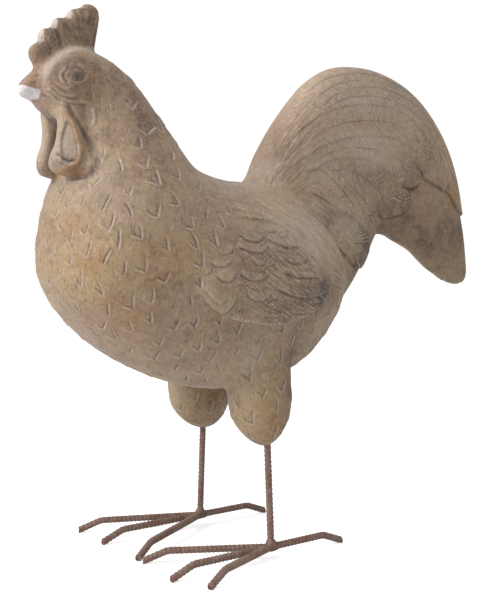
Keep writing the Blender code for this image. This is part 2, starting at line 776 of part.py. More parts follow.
def centre_over_origin(pieces, parts, cutters):
    """Hold everything by one empty and move it so that the figure's box is centred over the origin."""
    holder = bpy.data.objects.new("rooster_figurine", None)
    parts.objects.link(holder)
    bpy.context.view_layer.update()
    depsgraph = bpy.context.evaluated_depsgraph_get()
    corners = []
    for piece in pieces:
        shape = piece.evaluated_get(depsgraph)
        corners.extend(piece.matrix_world @ Vector(corner) for corner in shape.bound_box)
    for thing in (*pieces, *cutters.objects):
        thing.parent = holder
    for axis in range(2):
        reach = [corner[axis] for corner in corners]
        holder.location[axis] = -(min(reach) + max(reach)) / 2
    return holder


def main():
    """Build the figurine."""
    for old in list(bpy.data.objects):
        bpy.data.objects.remove(old)
    parts = bpy.data.collections.new("rooster_figurine")
    cutters = bpy.data.collections.new("cutters")
    for collection in (parts, cutters):
        bpy.context.scene.collection.children.link(collection)
    pieces = [make_body(parts, cutters)]
    for name, side, toes in (("left", 1, LEFT_TOES), ("right", -1, RIGHT_TOES)):
        pieces.append(make_leg(name, side, parts))
        pieces.extend(make_foot(name, side, toes, parts, cutters))
    for piece in pieces:
        smooth_shading(piece)
    centre_over_origin(pieces, parts, cutters)
    bpy.context.view_layer.update()


main()
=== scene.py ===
"""Looks of the rooster garden figurine.

A cast and carved body in a weathered tan finish stands on two legs of ribbed steel bar with welded toes.
The casting is drawn on a side-view grid of one millimetre squares: a place on it is millimetres forward
of the legs, then millimetres above the undersides of the thighs.
"""

from __future__ import annotations

import itertools
import logging
import math
import random
import sys
from collections.abc import Iterable
from dataclasses import dataclass, field
from enum import Enum
from typing import NamedTuple

import bmesh
import bpy
import numpy as np
from bmesh.types import BMEdge, BMesh, BMVert
from bpy.types import Material, Mesh, Node, NodeSocket, NodeTree, Object
from mathutils import Euler, Matrix, Vector, kdtree
from numpy import ndarray

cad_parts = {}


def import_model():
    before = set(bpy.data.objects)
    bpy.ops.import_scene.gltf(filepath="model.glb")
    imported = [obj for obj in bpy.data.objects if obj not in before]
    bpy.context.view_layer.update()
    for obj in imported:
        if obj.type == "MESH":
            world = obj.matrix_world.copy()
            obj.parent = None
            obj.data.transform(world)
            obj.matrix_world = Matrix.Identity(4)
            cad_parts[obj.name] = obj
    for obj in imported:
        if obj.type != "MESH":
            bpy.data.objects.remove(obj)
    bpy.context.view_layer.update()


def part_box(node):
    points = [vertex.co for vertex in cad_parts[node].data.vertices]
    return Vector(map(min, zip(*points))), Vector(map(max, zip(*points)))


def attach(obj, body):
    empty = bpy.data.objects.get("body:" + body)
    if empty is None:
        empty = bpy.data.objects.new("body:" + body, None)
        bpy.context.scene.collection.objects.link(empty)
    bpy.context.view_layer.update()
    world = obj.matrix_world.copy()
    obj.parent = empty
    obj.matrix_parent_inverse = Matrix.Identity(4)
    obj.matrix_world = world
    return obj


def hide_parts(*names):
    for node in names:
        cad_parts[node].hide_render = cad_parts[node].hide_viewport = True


LOG = logging.getLogger("rooster_figurine")

MM = 0.001
THIGH_FLOOR = 0.107  # floor to the undersides of the thighs

# How far the hair's pattern is moved for each line that it follows, and for each zone of its own
HAIR_STEP = 70.0
LOBE_HAIR = 400.0
WING_HAIR = 700.0
ROOT_HAIR = 900.0

Place = tuple[float, float]
Line = tuple[Place, ...]

# One cut across the bird: the place of its back edge, the place of its front edge, and its half width
Section = tuple[float, float, float, float, float]

TRUNK_SECTIONS: tuple[Section, ...] = (
    (-118, 172, -118, 142, 14),
    (-97, 202, -107, 113.5, 48.5),
    (-58, 234, -68, 70.5, 70),
    (-14, 247, -20, 54, 90),
    (18, 249, 42, 51, 98),
    (44, 254, 103, 70.5, 99.5),
    (66, 264, 157.5, 105.5, 94.5),
    (83, 286, 191, 151, 85),
    (97.5, 308, 192, 198, 68),
    (110, 326, 182, 236, 53),
    (125, 341.5, 175, 266, 41),
    (145, 353, 177, 286, 34),
    (170, 358, 189, 297, 28),
    (190.5, 346.5, 198, 302, 19),
    (204, 334.5, 205, 309, 10),
    (212, 327, 212, 311.5, 8),
    (217, 321, 217, 314, 3),
)

TAIL_SECTIONS: tuple[Section, ...] = (
    (20, 218, -66, 96, 40),
    (-18, 249, -110, 116, 42),
    (-35, 282, -138, 142, 38),
    (-58, 317, -156, 164, 34),
    (-88, 350, -168, 184, 30),
    (-117, 368, -176, 195, 27),
    (-148, 373, -186, 198, 24),
    (-182, 371, -198, 197, 22),
    (-217, 361, -210, 191.5, 20),
    (-245, 346, -224, 185.5, 18),
    (-272, 321, -238, 179, 17),
    (-295, 289, -251, 169, 15),
    (-309, 253, -265, 159, 14),
    (-316.5, 215, -281, 150.5, 12),
    (-322, 180, -295, 144, 10),
    (-325.5, 152, -306, 141, 7),
    (-324, 143, -313, 140.5, 2),
)

WATTLE_SECTIONS: tuple[Section, ...] = (
    (193, 313, 181, 314, 5),
    (190, 303, 175, 304, 8),
    (188.5, 290, 168, 290, 10),
    (190.5, 274, 163, 275, 11),
    (195, 262, 161, 262, 12),
    (196, 254, 164, 254, 10),
    (193, 249, 170, 249, 8),
    (185, 246, 182, 246, 5),
)

# The chin that joins the tops of the two wattles
CHIN_SECTIONS: tuple[Section, ...] = (
    (189, 295, 184, 295, 13),
    (192, 299, 179, 298, 18),
    (195, 305, 175, 304, 20),
    (199, 312, 173, 312, 18),
)

# The comb's lobes from the back one to the front one: root, middle of the round tip, and its radius
COMB_LOBES: tuple[Section, ...] = (
    (156, 350, 152, 387, 10),
    (165, 350, 164, 382, 9),
    (174, 347, 178, 373, 9),
    (183, 342, 190, 362.5, 9),
    (191.5, 334, 198.5, 349, 9),
)

# A thigh as a drop: millimetres above its underside, its middle ahead of the leg, and its radius there
# on the left and on the right, where it is blunter
THIGH_PROFILE: tuple[tuple[float, float, float, float], ...] = (
    (116, 6, 0, 0),
    (104, 6, 10, 10),
    (86, 6, 26, 26),
    (66, 7, 29.5, 30.5),
    (42, 7, 30, 31.5),
    (24, 6, 26, 29.5),
    (12, 4.5, 19, 23),
    (4, 3, 11.5, 15),
    (0, 2, 5, 8),
)

# Where joints between the shapes are rubbed smooth: place, distance from the middle, reach and strength
SOFT_JOINTS: tuple[Section, ...] = (
    (4, 62, 50, 38, 0.7),
    (4, 84, 80, 40, 1.0),
    (-22, 98, 55, 32, 1.0),
    (-30, 236, 0, 42, 0.6),
    (-30, 215, 45, 42, 0.6),
    (-80, 140, 25, 44, 0.6),
    (-112, 160, 0, 34, 0.6),
    (172, 352, 0, 17, 0.25),
    (176, 300, 20, 12, 0.25),
)


def ramp(values: ndarray, low: float, high: float) -> ndarray:
    """Give 0 below low, 1 above high, and a smooth rise between them.

    Args:
        values: Numbers to read.
        low: Where the rise starts.
        high: Where it ends.

    Returns:
        The shares, from 0 to 1.
    """
    t = np.clip((values - low) / (high - low), 0.0, 1.0)
    return t * t * (3 - 2 * t)


def bell(values: ndarray, width: float) -> ndarray:
    """Give 1 at zero, fading away over the width on both sides."""
    return np.exp(-((values / width) ** 2))


def fall(values: ndarray, low: float, high: float) -> ndarray:
    """Give 1 below low, 0 above high, and a smooth fall between them."""
    return 1 - ramp(values, low, high)


def fading(values: ndarray, reach: float) -> ndarray:
    """Give 1 up to zero, fading away over the reach beyond it."""
    return np.exp(-np.clip(values, 0, None) / reach)


def shifted(line: Line, ahead: float, over: float) -> Line:
    """Give a line moved that far forward and upwards."""
    return tuple((forward + ahead, above + over) for forward, above in line)


def smooth_rows(rows: tuple[tuple[float, ...], ...], count: int) -> ndarray:
    """Read rows of numbers at even steps along a smooth curve through them.

    Args:
        rows: The rows that the curve passes through.
        count: How many rows to give.

    Returns:
        The rows read along the curve.
    """
    table = np.asarray(rows, float)
    steps = np.linalg.norm(np.diff(table[:, :4], axis=0), axis=1)
    ways = np.concatenate(([0.0], np.cumsum(np.sqrt(steps))))
    slopes = np.gradient(table, ways, axis=0)
    places = np.linspace(0.0, ways[-1], count)
    starts = np.clip(np.searchsorted(ways, places, side="right") - 1, 0, len(table) - 2)
    width = (ways[starts + 1] - ways[starts])[:, None]
    t = (places - ways[starts])[:, None] / width
    return (
        (2 * t**3 - 3 * t**2 + 1) * table[starts]
        + (t**3 - 2 * t**2 + t) * width * slopes[starts]
        + (3 * t**2 - 2 * t**3) * table[starts + 1]
        + (t**3 - t**2) * width * slopes[starts + 1]
    )


def along_line(places: ndarray, line: ndarray) -> tuple[ndarray, ndarray, ndarray]:
    """Find where places lie by a line.

    Args:
        places: Places on the grid.
        line: Places that the line passes through.

    Returns:
        For each place the way along the line, the signed offset from it, and the distance to it.
    """
    nearest = np.full(len(places), np.inf)
    way = np.zeros(len(places))
    offset = np.zeros(len(places))
    passed = 0.0
    for start, end in zip(line, line[1:]):
        length = float(np.linalg.norm(end - start))
        ahead = (end - start) / length
        reach = np.clip((places - start) @ ahead, 0, length)
        away = places - start - reach[:, None] * ahead
        distance = np.linalg.norm(away, axis=1)
        closer = distance < nearest
        nearest[closer] = distance[closer]
        way[closer] = (passed + reach)[closer]
        offset[closer] = (away @ np.array((-ahead[1], ahead[0])))[closer]
        passed += length
    return way, offset, nearest


@dataclass(frozen=True)
class Grid:
    """Where the side-view grid lies in the row's frame."""

    middle: float
    legs: float

    @classmethod
    def from_frame(cls) -> Grid:
        """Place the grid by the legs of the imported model.

        Returns:
            The grid.
        """
        low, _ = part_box("leg_right")
        _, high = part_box("leg_left")
        return cls((low.x + high.x) / 2, (low.y + high.y) / 2)

    def point(self, forward: float, above: float, across: float = 0.0) -> Vector:
        """Give the point at a place on the grid, that far to the left of the middle."""
        return Vector((self.middle + across * MM, self.legs - forward * MM, THIGH_FLOOR + above * MM))

    def read(self, points: ndarray) -> ndarray:
        """Give rows of forward, above and distance from the middle, in millimetres."""
        across = np.abs(points[:, 0] - self.middle)
        return np.column_stack((self.legs - points[:, 1], points[:, 2] - THIGH_FLOOR, across)) / MM


def new_piece(name: str, mesh: Mesh) -> Object:
    """Put a mesh into the scene as an object at the origin.

    Args:
        name: The object's name.
        mesh: Its mesh.

    Returns:
        The object.
    """
    made = bpy.data.objects.new(name, mesh)
    bpy.context.scene.collection.objects.link(made)
    return made


def evaluated_mesh(thing: Object) -> Mesh:
    """Give a plain copy of an object's mesh with its modifiers applied."""
    bpy.context.view_layer.update()
    return bpy.data.meshes.new_from_object(thing.evaluated_get(bpy.context.evaluated_depsgraph_get()))


def read_all(items: object, name: str, width: int = 3, kind: type = np.float32) -> ndarray:
    """Read the same property of every item of a mesh.

    Args:
        items: The mesh's points, edges, corners or faces.
        name: The property.
        width: How many numbers it holds.
        kind: The type of the numbers.

    Returns:
        One row per item.
    """
    values = np.empty(len(items) * width, kind)
    items.foreach_get(name, values)
    return values.reshape(-1, width)


def read_points(mesh: Mesh) -> ndarray:
    """Read a mesh's points as rows."""
    return read_all(mesh.vertices, "co").astype(float)


def read_normals(mesh: Mesh) -> ndarray:
    """Read the outward direction at each of a mesh's points."""
    return read_all(mesh.vertex_normals, "vector").astype(float)


def write_points(mesh: Mesh, points: ndarray) -> None:
    """Move a mesh's points to the rows."""
    mesh.vertices.foreach_set("co", points.astype(np.float32).ravel())
    mesh.update()


class Neighbours:
    """The edges of a mesh, for taking middles of neighbouring points."""

    def __init__(self, mesh: Mesh) -> None:
        """Read the edges of the mesh.

        Args:
            mesh: The mesh.
        """
        self.first, self.second = read_all(mesh.edges, "vertices", 2, np.int32).T
        self.size = len(mesh.vertices)
        self.count = np.bincount(self.first, minlength=self.size)
        self.count += np.bincount(self.second, minlength=self.size)

    def middle(self, values: ndarray) -> ndarray:
        """Give the mean of each point's neighbours, for one number per point."""
        total = np.bincount(self.first, values[self.second], self.size)
        return (total + np.bincount(self.second, values[self.first], self.size)) / self.count

    def rub(self, points: ndarray, weight: ndarray, rounds: int) -> ndarray:
        """Draw points towards their neighbours.

        Args:
            points: Rows of places.
            weight: How strongly each point is drawn, from 0 to 1.
            rounds: How often.

        Returns:
            The moved rows.
        """
        for _ in range(rounds):
            middle = np.column_stack([self.middle(points[:, axis]) for axis in range(points.shape[1])])
            points = points + weight[:, None] * (middle - points)
        return points


def stitch(shape: BMesh, rings: list[list[BMVert]]) -> None:
    """Close a form over its rings of points, with a face at each end.

    Args:
        shape: The mesh under work.
        rings: The rings in order, each with as many points.
    """
    for ring, following in zip(rings, rings[1:]):
        for side, corner in enumerate(ring):
            after = (side + 1) % len(ring)
            shape.faces.new((corner, ring[after], following[after], following[side]))
    shape.faces.new(rings[0])
    shape.faces.new(rings[-1])


def melted(name: str, shape: BMesh, voxel: float) -> Object:
    """Melt overlapping closed shapes into one skin.

    Args:
        name: The name of the result.
        shape: The shapes, which are freed.
        voxel: How fine the skin is, in metres.

    Returns:
        An object that holds the skin.
    """
    mesh = bpy.data.meshes.new(name)
    shape.to_mesh(mesh)
    shape.free()
    form = new_piece(name, mesh)
    melt = form.modifiers.new("Melt", "REMESH")
    melt.mode = "VOXEL"
    melt.voxel_size = voxel
    form.data = evaluated_mesh(form)
    form.modifiers.clear()
    return form


@dataclass
class CastingForm:
    """The casting's plain form, before it is carved."""

    grid: Grid
    ring_sides: int = 64
    ring_count: int = 120
    trunk_roundness: float = 2.1
    tail_roundness: float = 2.7
    voxel: float = 0.0021
    soft_rounds: int = 72
    wattle_offset: float = 20
    wattle_middle: float = 178
    wattle_flare: float = 0.4
    comb_half_width: float = 8
    thigh_from_middle: float = 54
    thigh_rings: int = 40
    plain_rub: float = 0.02
    dome_turns: tuple[float, ...] = (0, 30, 55, 75, 88)

    def turns(self) -> list[float]:
        """Give the turns round a ring at which its points lie."""
        return [math.tau * side / self.ring_sides for side in range(self.ring_sides)]

    def loft(
        self, shape: BMesh, sections: tuple[Section, ...], roundness: float = 2.0,
        offset: float = 0.0, flare: float = 0.0,
    ) -> None:
        """Add a closed form through sections.

        Args:
            shape: The mesh under work.
            sections: Cuts across the form, from end to end.
            roundness: 2 for ovals, more for squarer ones.
            offset: How far to the left of the middle the form lies.
            flare: How much further out it lies for each millimetre back.
        """
        rings = []
        for row in smooth_rows(sections, self.ring_count):
            back, front, half_width = row[:2], row[2:4], row[4]
            ring = []
            for turn in self.turns():
                cosine = math.copysign(abs(math.cos(turn)) ** (2 / roundness), math.cos(turn))
                sine = math.copysign(abs(math.sin(turn)) ** (2 / roundness), math.sin(turn))
                forward, above = (back + front) / 2 + cosine * (back - front) / 2
                across = offset + sine * max(half_width, 1) + flare * (self.wattle_middle - forward)
                ring.append(shape.verts.new(self.grid.point(forward, above, across)))
            rings.append(ring)
        stitch(shape, rings)

    def lobe(self, shape: BMesh, row: Section) -> None:
        """Add one finger of the comb.

        Args:
            shape: The mesh under work.
            row: The lobe's root, the middle of its tip, and its radius.
        """
        root = np.array(row[:2], float)
        tip = np.array(row[2:4], float)
        radius = row[4]
        ahead = (tip - root) / np.linalg.norm(tip - root)
        edge = np.array((ahead[1], -ahead[0]))
        stations = [(root, 0.75), ((root + tip) / 2, 0.9)]
        for degrees in self.dome_turns:
            turn = math.radians(degrees)
            stations.append((tip + ahead * radius * math.sin(turn), math.cos(turn)))
        sections = []
        for centre, share in stations:
            reach = edge * radius * share
            sections.append((*(centre - reach), *(centre + reach), self.comb_half_width * share))
        self.loft(shape, tuple(sections))

    def thigh(self, shape: BMesh, side: int) -> None:
        """Add one thigh, which is round about an upright line.

        Args:
            shape: The mesh under work.
            side: 1 for the left thigh, -1 for the right one.
        """
        rings = []
        for above, ahead, left_radius, right_radius in smooth_rows(THIGH_PROFILE, self.thigh_rings)[1:]:
            radius = left_radius if side > 0 else right_radius
            ring = []
            for turn in self.turns():
                forward = ahead + radius * math.cos(turn)
                across = side * self.thigh_from_middle + radius * math.sin(turn)
                ring.append(shape.verts.new(self.grid.point(forward, above, across)))
            rings.append(ring)
        stitch(shape, rings)

    def build(self) -> Mesh:
        """Melt all the shapes into one fine skin and rub its joints smooth.

        Returns:
            The skin as a mesh of small quads.
        """
        shape = bmesh.new()
        self.loft(shape, TRUNK_SECTIONS, self.trunk_roundness)
        self.loft(shape, TAIL_SECTIONS, self.tail_roundness)
        self.loft(shape, CHIN_SECTIONS)
        for row in COMB_LOBES:
            self.lobe(shape, row)
        for side in (-1, 1):
            offset = side * self.wattle_offset
            self.loft(shape, WATTLE_SECTIONS, offset=offset, flare=side * self.wattle_flare)
            self.thigh(shape, side)
        bmesh.ops.recalc_face_normals(shape, faces=shape.faces)
        form = melted("casting_form", shape, self.voxel)
        self.soften(form.data)
        finer = form.modifiers.new("Finer", "SUBSURF")
        finer.levels = finer.render_levels = 1
        skin = evaluated_mesh(form)
        bpy.data.objects.remove(form)
        return skin

    def soften(self, mesh: Mesh) -> None:
        """Rub the skin smooth where two shapes meet.

        Args:
            mesh: The skin.
        """
        points = read_points(mesh)
        places = self.grid.read(points)
        weight = np.full(len(points), self.plain_rub)
        for *place, reach, strength in SOFT_JOINTS:
            distance = np.linalg.norm(places - place, axis=1)
            weight = np.maximum(weight, strength * fall(distance, reach / 2, reach))
        write_points(mesh, Neighbours(mesh).rub(points, weight, self.soft_rounds))


class Paint(Enum):
    """The washes that are brushed over the casting, one to a channel; the dark one also lays painted shade
    and painted shadow, the pale one painted highlights.
    """

    # The dark wash, together with painted shade and painted shadow
    WASH = 0
    OCHRE = 1
    RUST = 2
    # Pale paint, together with painted highlights
    PALE = 3


@dataclass(frozen=True)
class Ledge:
    """The free edge of a short feather, drawn from front to back, with the feather above it."""

    line: Line
    rise: float
    reach: float
    wash: float


@dataclass(frozen=True)
class Score:
    """A line scored into the skin."""

    line: Line
    depth: float
    width: float
    wash: float


# The wing's short feathers that the light picks out: each edge's line, rise, reach, and how dark a shadow
# is painted below it
WING_LEDGES: tuple[Ledge, ...] = (
    Ledge(((64, 214), (57, 211), (50, 213)), 0.7, 5, 0.7),
    Ledge(((78, 212), (67, 206), (56, 205), (52, 206)), 0.9, 7, 0.8),
    Ledge(((50, 211), (40, 207), (30, 208), (20, 210)), 0.9, 6, 0.8),
    Ledge(((73, 199), (66, 195), (58, 197)), 0.7, 6, 0.6),
    Ledge(((59, 198), (50, 191), (38, 190), (29, 195)), 1.3, 9, 1.0),
    Ledge(((29, 201), (22, 198), (12, 199)), 0.8, 6, 0.9),
    Ledge(((62, 186), (48, 181), (36, 181), (29, 186)), 1.1, 7, 0.8),
    Ledge(((27, 192), (14, 186), (2, 184), (-10, 185)), 1.3, 10, 1.0),
    Ledge(((51, 176), (46, 171), (40, 170), (34, 174)), 0.8, 6, 0.7),
    Ledge(((92, 177), (86, 171), (77, 170), (69, 175)), 0.8, 7, 0.4),
    Ledge(((86, 163), (79, 158), (72, 158), (67, 165)), 1.0, 7, 0.5),
    Ledge(((105, 173), (99, 165), (92, 164), (88, 170)), 0.7, 6, 0.3),
    Ledge(((98, 190), (92, 184), (85, 184), (81, 189)), 0.7, 6, 0.3),
    Ledge(((86, 200), (80, 196), (74, 197), (71, 201)), 0.6, 6, 0.3),
    Ledge(((64, 164), (52, 158), (40, 158), (32, 162)), 0.8, 7, 0.6),
    Ledge(((14, 175), (2, 171), (-10, 171), (-20, 174)), 1.0, 7, 0.8),
    Ledge(((16, 164), (0, 159), (-20, 158), (-38, 157)), 1.2, 9, 0.9),
    Ledge(((24, 150), (4, 143), (-22, 140), (-52, 144)), 1.2, 9, 0.8),
    Ledge(((58, 147), (47, 141), (36, 141), (29, 146)), 0.7, 6, 0.5),
    Ledge(((30, 134), (4, 128), (-28, 127), (-58, 131)), 1.0, 8, 0.6),
    Ledge(((104, 152), (90, 138), (78, 130), (70, 136), (65, 146)), 1.0, 9, 0.4),
    Ledge(((97, 153), (88, 144), (80, 139), (74, 145)), 0.6, 5, 0.3),
    Ledge(((70, 125), (49, 121), (22, 117), (-3, 116), (-30, 119), (-50, 130)), 1.3, 10, 0.55),
    Ledge(((46, 132), (34, 127), (20, 126), (10, 131)), 0.6, 6, 0.4),
    Ledge(((84, 185), (78, 180), (71, 181), (66, 186)), 0.6, 5, 0.4),
    Ledge(((112, 186), (106, 180), (99, 179), (94, 184)), 0.5, 5, 0.25),
)

# The lines between the tail's long feathers, with how deep, how wide and how dark each is; the dark is
# partly painted shadow along the groove
TAIL_SCORES: tuple[Score, ...] = (
    Score(((-78, 337), (-99, 352), (-130, 362), (-163, 365), (-196, 360), (-228, 348)), 0.3, 0.8, 0.15),
    Score((
        (-94, 326), (-104, 335), (-125, 345), (-158, 351), (-188, 350), (-220, 342), (-244, 330),
        (-264, 311), (-279, 287),
    ), 0.5, 0.8, 0.35),
    Score((
        (-44, 280), (-60, 297), (-80, 311), (-105, 323), (-137, 330), (-174, 332), (-201, 329),
        (-224, 319), (-244, 304), (-258, 282), (-264, 262),
    ), 0.5, 0.8, 0.35),
    Score((
        (-23, 240), (-45, 260), (-72, 278), (-109, 292), (-145, 299), (-184, 300), (-207, 296), (-230, 286),
    ), 0.6, 0.8, 0.4),
    Score(((-60, 254), (-100, 272), (-140, 275), (-172, 267), (-200, 256)), 0.3, 0.8, 0.2),
    Score(((-60, 258), (-80, 261), (-99, 250), (-117, 236), (-134, 219)), 0.6, 0.9, 0.5),
    Score(((-112, 252), (-128, 244), (-145, 232), (-161, 217)), 0.4, 0.8, 0.3),
    Score(((-70, 237), (-85, 231), (-106, 221), (-126, 210), (-148, 197)), 1.2, 1.1, 0.8),
)

# Where the hair of the back and of the tail's root runs, from front to back
HAIR_LINES: tuple[Line, ...] = (
    ((74, 226), (34, 216), (2, 206), (-26, 186), (-56, 164), (-84, 150)),
    ((62, 240), (20, 228), (-22, 208), (-58, 184), (-92, 158)),
    ((40, 250), (-4, 238), (-44, 218), (-84, 192), (-118, 162)),
    ((20, 258), (-18, 250), (-56, 232), (-96, 208), (-132, 178)),
)

# Where the first strands of the tail's long feathers run, from the back upwards
ROOT_LINES: tuple[Line, ...] = (
    ((4, 232), (-16, 252), (-42, 286), (-74, 320), (-112, 344)),
    ((-12, 226), (-40, 250), (-74, 282), (-112, 304), (-160, 314)),
)

# The lower edge of the hair that hangs over the wing
CURTAIN_EDGE: Line = (
    (74, 214), (44, 211), (20, 209), (2, 203), (-5, 196), (-11, 185), (-24, 174), (-40, 163),
    (-58, 153), (-84, 146),
)

# Corners behind it that close the outline of the hair
CURTAIN_BEYOND: Line = ((-130, 150), (-140, 190), (-60, 250), (-20, 270), (60, 275), (90, 240))

# The free edge of the tail's raised cover, from the tail's underside to its outer edge
COVER_EDGE: Line = (
    (-160, 178), (-168, 190), (-173, 201), (-178, 206), (-178, 212), (-172, 219), (-181, 215), (-190, 216),
    (-200, 218), (-208, 220), (-217, 227), (-220, 234), (-218, 242), (-215, 245), (-207, 250), (-214, 248),
    (-225, 249), (-233, 254), (-236, 261), (-234, 266), (-230, 271), (-241, 261), (-254, 256), (-269, 251),
    (-278, 247), (-280, 249), (-287, 243), (-293, 236), (-300, 228), (-312, 221), (-340, 214),
)

# Corners beyond the tail that close the outline of the cover
COVER_BEYOND: Line = ((-420, 228), (-420, 460), (80, 460), (80, 178))

# The notches between the lobes of the cover's edge
COVER_NOTCHES: Line = ((-172, 219), (-207, 250), (-230, 271), (-280, 249))


def inside_outline(places: ndarray, outline: ndarray) -> ndarray:
    """Tell which places lie inside a closed outline.

    Args:
        places: Places on the grid.
        outline: The outline's corners in order.

    Returns:
        True for each place inside.
    """
    inside = np.zeros(len(places), bool)
    for (start_x, start_y), (end_x, end_y) in zip(outline, np.roll(outline, -1, axis=0)):
        if start_y == end_y:
            continue
        level = (start_y > places[:, 1]) != (end_y > places[:, 1])
        meet = start_x + (places[:, 1] - start_y) * (end_x - start_x) / (end_y - start_y)
        inside ^= level & (places[:, 0] < meet)
    return inside


def within_edge(places: ndarray, edge: Line, beyond: Line) -> tuple[ndarray, ndarray]:
    """Tell how far inside a free edge places lie.

    Args:
        places: Places on the grid.
        edge: The free edge.
        beyond: Corners that close its outline.

    Returns:
        The depth of each place inside the edge, negative outside, and the way along the edge.
    """
    way, _, distance = along_line(places, np.asarray(edge, float))
    inside = inside_outline(places, np.array((*edge, *beyond), float))
    return np.where(inside, distance, -distance), way


@dataclass(frozen=True)
class Wing:
    """The wing's raised pad."""

    middle: Place = (20, 166)
    reach_forward: float = 88
    reach_back: float = 96
    drop: float = 52
    top: float = 54
    rise: float = 4.6
    edge_below: float = 0.14
    edge_above: float = 0.8
    tip: Place = (-51, 139)
    tip_half_length: float = 38
    tip_half_height: float = 21
    barb_step: float = 3.7
    barb_strength: float = 0.75
    hair_line: Line = ((70, 205), (30, 178), (-10, 154), (-60, 132))

    def pad(self, places: ndarray) -> ndarray:
        """Tell how much of the pad lies under each place.

        Args:
            places: Places on the grid.

        Returns:
            The shares, from 0 to 1.
        """
        ahead = places[:, 0] - self.middle[0]
        over = places[:, 1] - self.middle[1]
        reach_along = np.where(ahead > 0, self.reach_forward, self.reach_back)
        reach_above = np.where(over > 0, self.top, self.drop)
        radius = np.hypot(ahead / reach_along, over / reach_above)
        upward = ramp(over, -self.drop / 2, self.top / 2)
        edge = self.edge_below + (self.edge_above - self.edge_below) * upward
        return 1 - ramp((radius - 1) / edge, -1, 0)


@dataclass(frozen=True)
class Tail:
    """The tail's raised cover with its lobed end, and the smooth blade below it."""

    ahead: tuple[float, float] = (-58, -28)
    above: tuple[float, float] = (120, 150)
    blade_depth: float = 2.4
    blade_reach: float = 18.0
    blade_start: tuple[float, float] = (-120, -140)
    lip: float = 1.1
    lip_reach: float = 6.0
    shade_reach: float = 15.0
    fringe: float = 11.0
    barb_reach: tuple[float, float] = (18, 37)
    barb_step: float = 5.3
    side_facing: tuple[float, float] = (0.08, 0.34)
    lower_lobe: Place = (-112, 189)
    lower_lobe_spine: Line = ((-60, 214), (-100, 205), (-140, 180))
    lower_lobe_width: float = 19
    lower_lobe_rise: float = 3.0

    def share(self, places: ndarray) -> ndarray:
        """Tell how much of the skin at each place is the tail's."""
        return fall(places[:, 0], *self.ahead) * ramp(places[:, 1], *self.above)


@dataclass(frozen=True)
class Head:
    """The carving of the head: eyes, cheeks, folds, beak, wattles and comb."""

    eye: Place = (176, 329.5)
    eye_half_length: float = 5.7
    eye_half_height: float = 4.7
    eye_rise: float = 1.0
    eye_shade: Place = (186, 320)
    eye_corner: Line = ((182, 335), (185.5, 331), (186, 326), (184.5, 323.5))
    cheek: Place = (174, 327)
    cheek_edge: Line = (
        (193, 316), (195, 322), (195, 328), (192, 334), (186, 341), (180, 346), (172, 350), (160, 352),
    )
    folds: tuple[Line, ...] = (
        ((194, 318), (190, 313), (184, 310), (178, 310)),
        ((196, 315), (189, 309), (180, 305), (169, 305)),
        ((196, 311), (191, 306), (184, 302)),
        ((193, 321), (188, 317), (183, 315)),
    )
    mouth: Line = ((203, 316), (200, 313), (197, 311))
    nostrils: Line = ((203, 330), (206, 323))
    pad: Place = (183.5, 273)
    pad_half_length: float = 17.5
    pad_half_width: float = 4.8
    bulb: Place = (182, 251)
    wattle_back: Line = ((183, 304), (179, 295), (172, 283), (167, 270), (167, 257), (171, 248), (177, 243))
    wattle_rim: Line = ((186, 300), (181, 288), (176.5, 275), (176, 263), (181, 254), (189, 251))
    front_rim: Line = ((191, 294), (191, 280), (192, 268), (193, 259))
    lip: Line = ((191, 263), (188, 259.5), (184, 257.5), (181, 258))
    ear: Line = ((164, 301), (163.5, 296), (164, 290), (167, 286))
    comb_root: Place = (172, 300)
    comb_creases: tuple[Line, ...] = (
        ((168, 391), (165, 384), (164, 374), (163, 364)),
        ((180, 385), (175, 379), (173, 371), (172, 364)),
        ((190, 375), (184, 369), (182, 361), (180, 355)),
        ((197, 362), (192, 358), (190, 352), (191, 345), (198, 336)),
    )


class Beside(NamedTuple):
    """The numbers of the points near a line, and where they lie by it."""

    near: ndarray
    way: ndarray
    offset: ndarray
    distance: ndarray
    length: float


